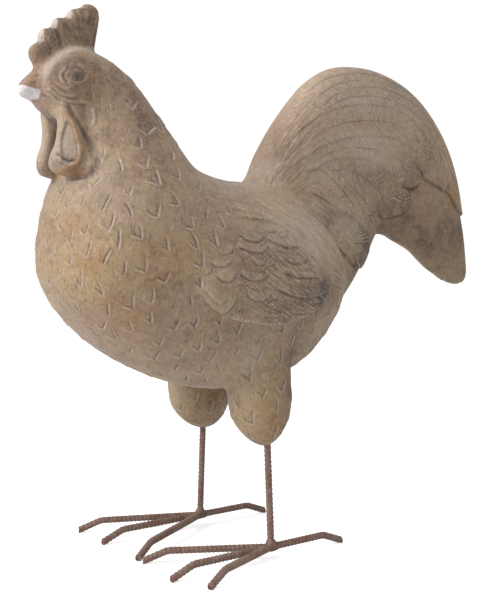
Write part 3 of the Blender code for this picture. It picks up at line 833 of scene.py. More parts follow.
@dataclass
class Carver:
    """Carves and paints the casting's skin. All its sizes are in millimetres on the grid."""

    grid: Grid
    mesh: Mesh
    wing: Wing = field(default_factory=Wing)
    tail: Tail = field(default_factory=Tail)
    head: Head = field(default_factory=Head)
    side_facing: tuple[float, float] = (0.3, 0.7)

    def __post_init__(self) -> None:
        """Read the skin."""
        self.points = read_points(self.mesh)
        self.normals = read_normals(self.mesh)
        grid = self.grid.read(self.points)
        self.places = grid[:, :2]
        self.forward, self.above, self.across = grid.T
        self.neighbours = Neighbours(self.mesh)
        self.height = np.zeros(len(grid))
        self.paint = np.zeros((len(grid), len(Paint)))
        self.barb = np.zeros((len(grid), 3))
        self.hair = np.zeros((len(grid), 3))
        side = np.where(self.points[:, 0] > self.grid.middle, 1.0, -1.0)
        self.outward = self.normals[:, 0] * side
        self.facing = ramp(self.outward, *self.side_facing)

    def add_paint(self, paint: Paint, amount: ndarray) -> None:
        """Brush one paint channel on, where it isn't stronger already."""
        channel = self.paint[:, paint.value]
        np.maximum(channel, np.clip(amount, 0, 1), out=channel)

    def brush(self, **washes: ndarray) -> None:
        """Brush several washes on, given by their names."""
        for name, amount in washes.items():
            self.add_paint(Paint[name.upper()], amount)

    def spread(self, near: ndarray, values: ndarray) -> ndarray:
        """Spread values over the whole skin.

        Args:
            near: The numbers of some points.
            values: Their values.

        Returns:
            The values at those points, and 0 at all others.
        """
        whole = np.zeros(len(self.points))
        whole[near] = values
        return whole

    def away_from(self, place: Place, half_length: float = 1.0, half_height: float = 1.0) -> ndarray:
        """Give every point's distance from a place, counted in the half sizes of an oval."""
        along = (self.forward - place[0]) / half_length
        return np.hypot(along, (self.above - place[1]) / half_height)

    def by_line(self, line: Line, margin: float, count: int = 20) -> Beside:
        """Find the points near a line and where they lie by it.

        Args:
            line: Places that the line passes through.
            margin: How far from the line to look.
            count: How finely the line is drawn.

        Returns:
            The points' numbers, their way along the line, their offset, their distance, and its length.
        """
        smooth = smooth_rows(line, count)
        low = smooth.min(0) - margin
        high = smooth.max(0) + margin
        near = np.all((self.places > low) & (self.places < high), axis=1).nonzero()[0]
        length = float(np.linalg.norm(np.diff(smooth, axis=0), axis=1).sum())
        return Beside(near, *along_line(self.places[near], smooth), length)

    def follow(
        self, rows: ndarray, lines: Iterable[Line], margin: float, step: tuple[float, float],
        strength: float = 1.0, allowed: ndarray | None = None,
    ) -> ndarray:
        """Make a pattern run along the nearest of several lines.

        Args:
            rows: The pattern's rows: the way along a line, the offset from it, and the strength.
            lines: The lines.
            margin: How far from each line to look.
            step: What each line adds to the way and the offset, so that no two look alike.
            strength: The strength to write.
            allowed: Which points may be written, or None for all.

        Returns:
            The distance of each point from the nearest line.
        """
        nearest = np.full(len(rows), np.inf)
        for number, line in enumerate(lines):
            by = self.by_line(line, margin)
            closer = by.distance < nearest[by.near]
            if allowed is not None:
                closer &= allowed[by.near]
            chosen = by.near[closer]
            nearest[chosen] = by.distance[closer]
            way = by.way[closer] + step[0] * number
            offset = by.offset[closer] + step[1] * number
            rows[chosen] = np.column_stack((way, offset, np.full(len(chosen), strength)))
        return nearest

    def groove(self, line: Line, mask: ndarray, depth: float, width: float, **washes: float) -> None:
        """Cut a groove along a line on both sides of the casting, and brush it.

        Args:
            line: Places that the groove passes through.
            mask: Where it may be cut, from 0 to 1.
            depth: How deep it is in millimetres; a negative depth makes a ridge.
            width: Its half width in millimetres.
            washes: How strong each paint channel is in it, by the channel's name.
        """
        by = self.by_line(line, 4 * width)
        cut = self.spread(by.near, bell(by.distance, width) * mask[by.near])
        self.height -= depth * cut
        self.brush(**{name: strength * cut for name, strength in washes.items()})

    def lift_ledge(self, ledge: Ledge, mask: ndarray) -> None:
        """Raise a short feather above its free edge, paint a shadow below it and a highlight along it.

        Args:
            ledge: The feather's free edge.
            mask: Where the feather may rise, from 0 to 1.
        """
        by = self.by_line(ledge.line, 16)
        inner = -by.offset
        ends = ramp(by.way, 0, 3) * fall(by.way, by.length - 3, by.length) * mask[by.near]
        ends = ends * fall(by.distance - np.abs(by.offset), 0, 2)
        lift = ramp(inner, -0.5, 0.7) * fading(inner, ledge.reach)
        cut = bell(inner + 0.9, 0.9)
        self.height[by.near] += ends * (ledge.rise * lift - 0.45 * ledge.rise * cut)
        # Painted shadow below the feather's free edge
        shade = 0.45 * ramp(-inner, 0, 1) * fading(-inner, 4)
        shade += 0.85 * bell(inner + 0.9, 1.3)
        self.brush(wash=self.spread(by.near, 0.8 * ends * ledge.wash * shade))
        # Painted highlight along the raised edge
        self.brush(pale=self.spread(by.near, 0.28 * ends * bell(inner - 1.0, 0.9)))

    def carve_wing(self) -> None:
        """Carve the wing: its pad, the free edges of its feathers and their barbs."""
        wing = self.wing
        pad = wing.pad(self.places)
        self.height += pad * wing.rise * self.facing
        on_wing = ramp(pad, 0.15, 0.45) * self.facing
        for ledge in WING_LEDGES:
            self.lift_ledge(ledge, on_wing)
        lines = [ledge.line for ledge in WING_LEDGES]
        self.follow(self.barb, lines, 26, (wing.barb_step, 0.0), wing.barb_strength)
        self.barb[:, 2] *= on_wing
        away = self.away_from(wing.tip, wing.tip_half_length, wing.tip_half_height)
        self.brush(wash=fall(away, 0.45, 1.25) * on_wing, rust=0.7 * fall(away, 0.6, 1.6) * on_wing)
        front = bell(pad - 0.55, 0.3) * ramp(self.forward, 60, 80) * fall(self.above, 160, 180)
        self.brush(pale=0.15 * front * self.facing)
        self.barb[:, 2] *= 1 - 0.7 * ramp(self.forward, 58, 82)
        self.on_wing = on_wing

    def comb_hair(self) -> None:
        """Lay the hair of the back over the wing and the root of the tail."""
        depth, _ = within_edge(self.places, CURTAIN_EDGE, CURTAIN_BEYOND)
        share = ramp(depth, -1.0, 0.8) * ramp(self.outward, 0.1, 0.4) * fall(self.forward, 30, 70)
        share *= fall(self.above, 216, 244)
        lift = 1.6 * share * fading(depth, 16)
        self.height += lift - self.height * 0.75 * share * self.on_wing
        # Painted shadow on the wing just below the hanging hair's edge
        self.brush(wash=0.6 * ramp(-depth, 0, 1) * fading(-depth, 4.5) * self.on_wing)
        self.paint[:, Paint.WASH.value] *= 1 - 0.85 * share
        nearest = self.follow(self.hair, HAIR_LINES, 60, (0.0, HAIR_STEP))
        self.hair[:, 2] *= fall(nearest, 24, 46) * ramp(depth, -2, 2) * fall(self.above, 220, 244)
        self.rooted = ramp(-self.forward, 4, 22) * fall(-self.forward, 66, 112) * self.facing
        self.rooted *= ramp(self.above, 232, 256)
        for number, line in enumerate(ROOT_LINES):
            by = self.by_line(line, 30)
            strength = self.rooted[by.near] * fall(by.distance, 12, 27)
            stronger = strength > self.hair[by.near, 2]
            rows = np.column_stack((by.way, by.offset + HAIR_STEP * number + ROOT_HAIR, strength))
            self.hair[by.near[stronger]] = rows[stronger]
        loose = self.on_wing * (1 - share)
        loose *= fall(self.above, 180, 200) * fall(self.forward, 30, 64)
        by = self.by_line(self.wing.hair_line, 70)
        free = (self.hair[by.near, 2] < 0.3) & (loose[by.near] > 0.05)
        rows = np.column_stack((by.way * 1.6, by.offset + WING_HAIR, 1.15 * loose[by.near]))
        self.hair[by.near[free]] = rows[free]
        self.barb[:, 2] *= 1 - share
        self.curtain = share

    def carve_tail(self) -> None:
        """Carve the tail: its cover and blade, the lines between its feathers and their barbs."""
        plan = self.tail
        turned = ramp(self.outward, *plan.side_facing)
        tail = plan.share(self.places) * turned
        inner, edge_way = within_edge(self.places, COVER_EDGE, COVER_BEYOND)
        cover = ramp(inner, -1.2, 0.6)
        ending = tail * ramp(-self.forward, -plan.blade_start[0], -plan.blade_start[1])
        blade = ending * (1 - cover)
        self.height -= blade * (plan.blade_depth * fading(-inner, plan.blade_reach))
        from_notch = np.min([self.away_from(notch) for notch in COVER_NOTCHES], axis=0)
        whole = ramp(from_notch, 2.5, 8)
        lip = cover * whole * fading(inner, plan.lip_reach)
        self.height += ending * (plan.lip * lip - 0.7 * fall(from_notch, 2, 6))
        lobes = ending * (1 - 0.75 * ramp(-self.forward, 226, 244))
        shade = cover * fading(inner, plan.shade_reach)
        drawn = 0.86 + 0.14 * np.sin(edge_way / 5.5)
        rim = ramp(inner, -6.5, -2) * fall(inner, 0.6, 2.4)
        low = ramp(238 - self.above, 0, 40) * (1 - 0.8 * ramp(195 - self.above, 0, 30))
        # Painted shade in the notches between the lobes
        self.brush(wash=0.6 * ending * cover * fall(from_notch, 2, 9))
        # Painted shade on the lobes' rounded edge, and painted shadow on the blade beside it
        self.brush(wash=(0.35 * ending + 0.65 * lobes) * drawn * rim)
        # Darker and browner towards the lobes' ends: partly their own brown-purple paint, partly painted
        # shade
        self.brush(wash=0.5 * lobes * shade, rust=0.8 * lobes * shade)
        # The blade is darker, more so low down: partly its own darker paint, partly painted shade in its
        # recess
        self.brush(wash=(0.2 + 0.38 * low) * blade, rust=0.35 * low * blade)
        feathers = tail * cover
        for number, score in enumerate(TAIL_SCORES):
            by = self.by_line(score.line, 9)
            worn = 0.45 + 0.55 * np.sin(by.way / 13 + 2.0 * number) * np.sin(by.way / 31 + number)
            kept = feathers * np.clip(self.spread(by.near, worn), 0.1, 1)
            # Each line is darkened along its groove: partly the figurine's own dark lines, partly painted
            # shadow
            self.groove(score.line, kept, score.depth, score.width, wash=score.wash)
            ends = ramp(by.way, 0, 12) * fall(by.way, by.length - 8, by.length) * feathers[by.near]
            self.height[by.near] += 0.6 * ends * ramp(-by.offset, 0, 1.0) * fading(-by.offset, 6)
        lines = [score.line for score in TAIL_SCORES]
        nearest = self.follow(self.barb, lines, 40, (plan.barb_step, 0.0), allowed=tail > 0.3)
        strength = feathers * ramp(-self.forward, 36, 66) * (1 - 0.6 * self.rooted)
        strength *= fall(nearest, *plan.barb_reach)
        self.barb[:, 2] = np.where(tail > 0.3, strength, self.barb[:, 2])
        fringe = ((lobes > 0.5) & (inner > 0) & (inner < plan.fringe)).nonzero()[0]
        fade = fall(inner[fringe], plan.fringe - 4, plan.fringe) * (0.95 * whole[fringe])
        self.barb[fringe] = np.column_stack((edge_way[fringe], np.zeros(len(fringe)), fade))
        self.carve_lower_lobe(turned)
        self.in_tail = tail

    def carve_lower_lobe(self, turned: ndarray) -> None:
        """Carve the dark rounded feather end at the foot of the tail.

        Args:
            turned: How far the skin at each point faces sideways, from 0 to 1.
        """
        plan = self.tail
        by = self.by_line(plan.lower_lobe_spine, 30)
        near = by.near
        share = by.way / by.length
        edge = by.distance / (plan.lower_lobe_width * (0.5 + 0.5 * ramp(share, 0.1, 0.6)))
        inside = fall(edge, 0.86, 1.06) * ramp(share, 0.15, 0.5) * turned[near]
        top = plan.lower_lobe_rise * ramp(share, 0.1, 1.0) * (1 - 0.35 * edge**2)
        self.height[near] += inside * (np.maximum(self.height[near], 0) * 0.3 + top - self.height[near])
        rim = self.spread(near, bell(edge - 1.02, 0.08) * ramp(share, 0.3, 0.6) * turned[near])
        self.height -= 0.5 * rim
        ahead = self.forward[near] - plan.lower_lobe[0]
        over = self.above[near] - plan.lower_lobe[1]
        reach = np.hypot(ahead, over)
        rays = inside * ramp(reach, 9, 16)
        self.brush(wash=self.spread(near, 0.95 * inside * ramp(share + 0.3 * edge, 0.95, 1.3)))
        self.brush(wash=0.7 * rim)
        self.brush(wash=self.spread(near, 0.95 * inside * ramp(reach, 20, 31)))
        taken = inside > 0.5
        full = np.ones(len(near))
        rows = np.column_stack((by.way, by.offset * 0.8 + LOBE_HAIR, full - rays))
        self.hair[near[taken]] = rows[taken]
        rows = np.column_stack((np.arctan2(over, ahead) * 26, full * 0, 1.3 * rays))
        self.barb[near[taken]] = rows[taken]

    def carve_head(self) -> None:
        """Carve the cheeks, the folds below them and the ears, then the rest of the head."""
        head = self.head
        on_head = ramp(self.forward, 140, 150) * ramp(self.above, 285, 292)
        face = on_head * ramp(self.outward, 0.2, 0.5)
        by = self.by_line(head.cheek_edge, 60, 30)
        inner = np.full(len(self.points), -99.0)
        inner[by.near] = by.offset
        under = ramp(inner, -1.5, 1.5) * fall(self.away_from(head.cheek, 26, 27), 0.6, 1.15) * face
        self.height -= 0.7 * under * fading(inner, 9)
        self.height += 0.4 * bell(inner + 2.5, 2.2) * face
        self.brush(rust=under, wash=0.42 * under)
        self.brush(pale=0.45 * bell(inner + 3.5, 3.0) * face * ramp(self.above, 322, 332))
        self.carve_eye(face)
        for number, fold in enumerate(head.folds):
            # Painted shade in each fold, and an orange and pale painted highlight on the ridge above it
            self.groove(fold, face, 0.4, 1.1, wash=0.2)
            self.groove(shifted(fold, 0, 2.2), face, -0.45, 1.0, ochre=0.9 - 0.15 * number, pale=0.3)
        sides = on_head * self.facing
        self.groove(head.ear, sides, -0.5, 1.0, pale=0.6)
        self.groove(shifted(head.ear, -2.0, 0), sides, 0.5, 1.0, wash=0.3)
        self.carve_beak()
        self.carve_wattles()
        self.carve_comb()

    def carve_beak(self) -> None:
        """Carve the beak's mouth and nostrils, and wear its lower tip bare."""
        beak = ramp(self.forward, 194, 199) * ramp(self.above, 300, 306)
        self.groove(self.head.mouth, beak, 0.6, 0.8, wash=0.45)
        for nostril in self.head.nostrils:
            away = self.away_from(nostril)
            pit = bell(away, 1.6) * beak * ramp(self.across, 2, 4)
            self.height -= 0.9 * pit
            self.brush(wash=0.5 * pit, rust=0.8 * bell(away, 3.5) * beak)
        over_edge = self.above - (317.0 + 0.3 * (self.forward - 203))
        bare = ramp(self.forward, 201.0, 202.6) * ramp(self.above, 309.2, 310.4)
        bare *= fall(over_edge, -0.6, 0.8)
        self.height += 0.5 * bare
        upper = beak * ramp(over_edge, 0, 2)
        self.brush(rust=0.6 * upper * ramp(self.forward, 198, 204))
        self.brush(ochre=0.35 * upper * bell(self.forward - 209, 7))
        self.brush(wash=0.2 * upper * ramp(self.forward, 196, 204))
        self.brush(wash=0.4 * beak * bell(over_edge - 0.8, 1.0) * ramp(self.forward, 202, 204))
        for paint in (Paint.WASH, Paint.OCHRE, Paint.RUST):
            self.paint[:, paint.value] *= 1 - bare
        self.bare_tip = bare

    def carve_eye(self, face: ndarray) -> None:
        """Carve the eye with its lids and the dark crease at its front corner.

        Args:
            face: How much of the face lies at each point.
        """
        head = self.head
        above = (self.above - head.eye[1]) / head.eye_half_height
        from_eye = self.away_from(head.eye, head.eye_half_length, head.eye_half_height)
        lids = face * bell(from_eye - 1.38, 0.17)
        self.height += face * head.eye_rise * np.sqrt(np.clip(1 - from_eye**2, 0, 1))
        self.height -= face * 0.4 * bell(from_eye - 1.06, 0.13)
        self.height += 0.3 * lids * fall(above, 0, 0.8)
        self.height -= face * 0.2 * bell(from_eye - 1.8, 0.2) * ramp(above, 0, 0.8)
        self.paint[:, Paint.RUST.value] *= 1 - 0.8 * face * fall(from_eye, 0.9, 1.2)
        self.brush(wash=face * 0.97 * fall(from_eye, 0.86, 1.15))
        # Painted shade in the socket above the eye
        self.brush(wash=face * 0.7 * bell(from_eye - 1.5, 0.45) * ramp(above, 0.1, 0.9))
        self.brush(pale=0.25 * lids * fall(above, -0.5, 0.8))
        pupil = np.hypot(self.forward - head.eye[0] + 0.4, (self.above - head.eye[1]) * 1.1)
        self.brush(wash=face * fall(pupil, 2.2, 4.4))
        self.groove(head.eye_corner, face, 0.7, 0.8, wash=0.8)
        self.groove(shifted(head.eye_corner, 2.3, -0.3), face, -0.4, 1.0, pale=0.5)
        self.brush(wash=face * 0.4 * fall(self.away_from(head.eye_shade, 9, 4), 0.4, 1.1))

    def carve_wattles(self) -> None:
        """Carve the wattles' pads with their rims, the slits below and the crease behind."""
        head = self.head
        hanging = ramp(self.forward, 150, 156) * ramp(self.above, 240, 244)
        hanging *= fall(self.above, 302, 309)
        outward = hanging * ramp(self.outward, 0.15, 0.45) * ramp(self.across, 11, 16)
        along = (self.forward - head.pad[0]) / head.pad_half_width
        above = (self.above - head.pad[1]) / head.pad_half_length
        from_pad = np.hypot(along * (1 + 0.45 * np.clip(above, -1, 1.2)), above)
        self.height -= outward * 1.7 * fall(from_pad, 0.8, 1.15)
        self.height -= outward * 0.5 * bell(from_pad - 1.0, 0.12)
        self.groove(head.wattle_rim, outward, -0.9, 2.7, ochre=1.0, rust=0.75)
        self.groove(head.front_rim, outward, -0.5, 1.3, ochre=0.4, rust=0.4)
        self.brush(wash=0.5 * outward * bell(from_pad - 1.04, 0.12))
        self.brush(pale=0.35 * outward * fall(from_pad, 0.7, 1.0))
        bulb = hanging * fall(self.away_from(head.bulb, 13, 9), 0.6, 1.15)
        self.brush(rust=0.95 * bulb * ramp(self.across, 8, 12))
        self.brush(ochre=0.4 * bulb * ramp(254 - self.above, 0, 6))
        # Painted shadow in the crease behind the wattle and on the neck beside it
        self.groove(head.wattle_back, hanging * ramp(self.across, 12, 18), 2.0, 2.6, wash=0.8)
        by = self.by_line(head.wattle_back, 9)
        shade = self.spread(by.near, ramp(by.offset, -1, 1) * fading(by.offset, 3.5))
        shade *= hanging * ramp(self.across, 14, 20) * fall(self.above, 285, 300)
        self.brush(wash=0.5 * shade)
        # Painted shade in the slit under the pad, and a painted highlight on its lower edge
        self.groove(head.lip, outward, 1.5, 1.0, wash=1.0)
        self.groove(shifted(head.lip, 0, -2.4), outward, -0.8, 1.1, pale=0.7)
        # Painted shade, warmed with rust, in the slot between the wattles
        throat = fall(self.across, 6, 10) * ramp(self.above, 258, 272)
        throat *= fall(self.above, 297, 304)
        throat = throat * ramp(self.forward, 158, 166)
        self.brush(wash=0.75 * throat, rust=0.5 * throat)

    def carve_comb(self) -> None:
        """Crease the comb between its lobes with painted shade, score its sides like a fan, and paint
        highlights on the facets that face forward.
        """
        along = self.forward - self.head.comb_root[0]
        over = self.above - self.head.comb_root[1]
        comb = fall(self.across, 8.5, 10.5) * ramp(np.hypot(along, over), 47, 56)
        comb = comb * ramp(self.forward, 138, 142) * ramp(self.above, 335, 342)
        for crease in self.head.comb_creases:
            by = self.by_line(crease, 6)
            fade = fall(by.way, by.length * 0.45, by.length)
            cut = self.spread(by.near, bell(by.distance, 1.3) * comb[by.near] * fade) * self.facing
            self.height -= cut
            # Painted shade in the crease
            self.brush(wash=0.35 * cut)
        steps = np.random.default_rng(11).normal(0, 1, 400)
        scores = np.interp(np.degrees(np.arctan2(along, over)) * 2.6 + 200, np.arange(400), steps)
        self.height += 0.2 * scores * comb * self.facing
        front = np.clip(-self.normals[:, 1], 0, 1)
        top = np.clip(self.normals[:, 2], 0, 1)
        side = comb * fall(front, 0.4, 0.7)
        # Painted highlight on the facets that face forward
        self.brush(pale=0.9 * comb * ramp(front, 0.5, 0.62) * ramp(self.above, 354, 359))
        self.brush(rust=0.45 * comb * ramp(front, 0.3, 0.7) * fall(self.above, 352, 360))
        for lobe in COMB_LOBES:
            away = self.away_from(lobe[2:4])
            self.brush(rust=side * fall(away, 5, 14), wash=0.3 * side * fall(away, 4, 12))
            self.brush(wash=0.6 * side * bell(away - 9.5, 1.8))
        self.brush(rust=0.5 * side, wash=0.22 * side)
        self.brush(rust=0.65 * comb * ramp(top, 0.3, 0.8) * fall(front, 0.5, 0.8))
        self.brush(wash=0.5 * comb * np.clip(-scores, 0, 1) * self.facing)
        self.brush(pale=0.25 * comb * np.clip(scores - 0.6, 0, 1) * self.facing)

    def settle(self) -> None:
        """Lift the skin by what has been carved so far."""
        self.points = self.points + self.normals * (self.height * MM)[:, None]
        write_points(self.mesh, self.points)
        self.normals = read_normals(self.mesh)
        self.feathered = np.maximum(self.on_wing, np.maximum(self.curtain, self.in_tail))

    def write(self, marks: ndarray) -> None:
        """Lift the skin by the tool marks and store the paint on it.

        Args:
            marks: The height of the tool marks in millimetres.
        """
        self.points = self.points + self.normals * (marks * MM)[:, None]
        write_points(self.mesh, self.points)
        total = self.height + marks
        mean = self.neighbours.middle(self.neighbours.middle(total))
        stored = {
            "paint": self.paint,
            "hollow": np.clip((mean - total) / 0.25, -1, 1),
            "barb": self.barb,
            "hair": self.hair,
            "plain": fall(self.feathered, 0.2, 0.6) * (1 - self.bare_tip),
            "horn": self.bare_tip,
            "skin_normal": read_normals(self.mesh),
        }
        for name, values in stored.items():
            store(self.mesh, name, values)


def store(mesh: Mesh, name: str, values: ndarray) -> None:
    """Store numbers on the points of a mesh as a named attribute.

    Args:
        mesh: The mesh.
        name: The attribute's name.
        values: One row per point: a number, a vector of three or a colour of four.
    """
    kinds = {1: ("FLOAT", "value"), 3: ("FLOAT_VECTOR", "vector"), 4: ("FLOAT_COLOR", "color")}
    kind, key = kinds[values.size // len(values)]
    mesh.attributes.new(name, kind, "POINT").data.foreach_set(key, values.astype(np.float32).ravel())


@dataclass(frozen=True)
class ToolMarks:
    """V-shaped marks pressed into the bare skin, each of two strokes that meet at its lower end."""

    spacing: float = 20.5
    back_stroke: float = 13.5
    front_stroke: float = 9.5
    back_turn: float = math.radians(20)
    front_turn: float = math.radians(50)
    depth: float = 0.85
    lip: float = 0.95
    half_width: float = 0.9
    sizes: tuple[float, float] = (0.7, 1.35)
    back_strength: tuple[float, float] = (0.5, 1.0)
    front_strength: tuple[float, float] = (0.15, 0.9)
    tries: int = 16000
    seed: int = 5

    def places(self, carver: Carver) -> list[int]:
        """Choose the points that the marks stand on, none too near another.

        Args:
            carver: The carver, which knows the skin.

        Returns:
            The numbers of the chosen points.
        """
        head = (carver.forward > 138) & (carver.above > 262)
        back = (carver.above > 215) & (carver.forward < 84)
        throat = (carver.forward > 155) & (carver.above > 235) & (carver.across < 45)
        tail = (carver.forward < -70) & (carver.above > 150)
        underside = (carver.above <= 8) | (carver.normals[:, 2] <= -0.93)
        allowed = (carver.feathered < 0.25) & ~(head | back | throat | tail | underside)
        candidates = allowed.nonzero()[0]
        source = random.Random(self.seed)
        taken: dict[tuple[int, int, int], list[Vector]] = {}
        chosen = []
        reach = self.spacing * MM
        beside = list(itertools.product((-1, 0, 1), repeat=3))
        for _ in range(self.tries):
            number = int(candidates[source.randrange(len(candidates))])
            point = Vector(carver.points[number])
            cell = tuple(math.floor(value / reach) for value in point)
            room = reach * source.uniform(0.75, 1.2)
            cells = ((cell[0] + x, cell[1] + y, cell[2] + z) for x, y, z in beside)
            near = (other for place in cells for other in taken.get(place, ()))
            if all((other - point).length > room for other in near):
                taken.setdefault(cell, []).append(point)
                chosen.append(number)
        return chosen

    def press(self, carver: Carver) -> ndarray:
        """Press all the marks and paint them: shade in their grooves, and pale lips that are partly
        dry-brushed paint and partly painted highlight.

        Args:
            carver: The carver, which knows the skin.

        Returns:
            The height of the marks at each point, in millimetres.
        """
        tree = kdtree.KDTree(len(carver.points))
        for number, point in enumerate(carver.points):
            tree.insert(point, number)
        tree.balance()
        source = random.Random(self.seed + 1)
        cut = np.zeros(len(carver.points))
        lip = np.zeros(len(carver.points))
        for number in self.places(carver):
            normal = carver.normals[number]
            flow = np.array((0.0, 0.12 + source.uniform(-0.3, 0.3), -0.9))
            down = flow - normal * (flow @ normal)
            down /= np.linalg.norm(down)
            sideways = np.cross(normal, down)
            if sideways[1] < 0:
                sideways = -sideways
            size = source.uniform(*self.sizes)
            found = tree.find_range(carver.points[number], (self.back_stroke * 1.4 + 3) * MM)
            near = np.array([index for _, index, _ in found])
            away = (carver.points[near] - carver.points[number]) / MM
            up = -(away @ down)
            out = away @ sideways
            strokes = (
                (1, self.back_turn, self.back_stroke, source.uniform(*self.back_strength)),
                (-1, self.front_turn, self.front_stroke, source.uniform(*self.front_strength)),
            )
            for side, lean, reach, strength in strokes:
                turn = lean + source.uniform(-0.2, 0.2)
                bend = source.uniform(-0.012, 0.03)
                way = up * math.cos(turn) + side * out * math.sin(turn)
                off = -up * math.sin(turn) + side * out * math.cos(turn)
                off = off + bend * np.clip(way, 0, None) ** 2
                length = reach * size
                window = ramp(way, -1.4, 0.6) * fall(way, length * 0.55, length) * strength
                cut[near] = np.maximum(cut[near], bell(off + 0.5, self.half_width) * window)
                lip[near] = np.maximum(lip[near], bell(off - 1.2, 1.05) * window)
        lip *= 1 - 0.8 * cut
        # Painted shade in each groove; the pale lip is partly dry-brushed paint, partly painted highlight
        carver.brush(wash=0.48 * cut, pale=0.74 * lip)
        return self.lip * lip - self.depth * cut


# Soft patches of each paint channel: the place of the middle, half length, half height and strength
PATCHES: dict[Paint, tuple[Section, ...]] = {
    Paint.OCHRE: (
        (184, 195, 18, 26, 0.6), (179, 168, 22, 22, 1.0), (172, 150, 18, 16, 0.95),
        (155, 175, 24, 26, 0.7), (140, 168, 24, 20, 0.65), (120, 176, 22, 16, 0.7),
        (25, 50, 32, 32, 0.7), (-143, 309, 16, 8, 1.0), (-100, 285, 34, 16, 0.35),
        (-70, 196, 28, 16, 0.6), (-20, 214, 34, 14, 0.7), (-49, 232, 34, 16, 0.65),
        (-50, 186, 40, 24, 0.7), (-113, 228, 26, 12, 0.6), (-96, 282, 24, 12, 0.7),
        (-290, 178, 14, 26, 0.4), (-290, 240, 9, 14, 1.0), (-252, 258, 16, 6, 0.8),
        (40, 124, 40, 7, 0.5), (150, 260, 18, 20, 0.3), (-150, 300, 90, 40, 0.62),
        (-80, 250, 40, 24, 0.5), (16, 44, 34, 46, 0.95), (144, 132, 22, 16, 0.7),
    ),
    Paint.RUST: (
        (-143, 309, 15, 7, 0.7), (-290, 240, 9, 14, 0.8), (-262, 254, 16, 6, 0.6),
        (176, 345, 16, 10, 0.5), (132, 300, 26, 34, 0.7), (120, 262, 24, 24, 0.35),
        (53, 173, 14, 10, 0.7), (158, 143, 12, 12, 0.5), (180, 174, 9, 9, 0.7), (186, 200, 8, 14, 0.6),
        (146, 130, 12, 12, 0.5), (118, 180, 20, 14, 0.6), (130, 160, 16, 12, 0.5),
        (87, 111, 14, 10, 0.4), (123, 103, 14, 10, 0.35), (-122, 268, 22, 10, 0.9),
        (-60, 270, 20, 12, 0.45), (-36, 224, 16, 9, 0.4), (-250, 300, 16, 24, 0.4),
        (-292, 240, 7, 12, 0.9), (-315, 190, 5, 32, 0.7), (-228, 222, 16, 10, 0.5),
        (-20, 140, 40, 14, 0.6), (-156, 260, 30, 12, 0.8), (-150, 296, 60, 26, 0.3),
        (-18, 50, 18, 46, 0.6), (6, 30, 14, 22, 0.4),
    ),
    Paint.PALE: (
        (-34, 200, 44, 26, 0.62), (-120, 205, 26, 18, 0.3), (-110, 222, 34, 14, 0.3),
        (-150, 335, 80, 30, 0.55), (192, 275, 9, 34, 0.3), (-150, 290, 64, 28, 0.6),
        (-90, 262, 40, 20, 0.42), (44, 62, 12, 30, 0.24), (-200, 325, 50, 34, 0.4),
        (34, 84, 16, 24, 0.3), (20, 246, 44, 10, 0.45), (-30, 256, 12, 16, 0.4),
        (60, 262, 24, 14, 0.25),
    ),
    # The dark patches are mostly the figurine's dark wash; the one at the back of the thighs (-20, 50) and
    # the faint one down the breast's front edge (198, 190) are painted shade
    Paint.WASH: (
        (-42, 140, 24, 15, 1.0), (-14, 172, 22, 10, 0.35), (-35, 142, 30, 14, 0.9),
        (-5, 134, 28, 10, 0.6), (40, 196, 26, 9, 0.5), (10, 178, 26, 12, 0.45), (45, 211, 24, 7, 0.3),
        (-150, 257, 20, 9, 0.6), (-180, 263, 20, 8, 0.42), (-240, 285, 14, 26, 0.25),
        (-186, 236, 26, 16, 0.3), (-91, 217, 14, 10, 0.3), (-20, 50, 18, 46, 0.82),
        (-148, 182, 10, 18, 1.0), (126, 128, 10, 12, 0.3), (134, 296, 30, 40, 0.5),
        (198, 190, 12, 60, 0.16), (-36, 292, 26, 50, 0.28), (160, 322, 14, 22, 0.3),
    ),
}


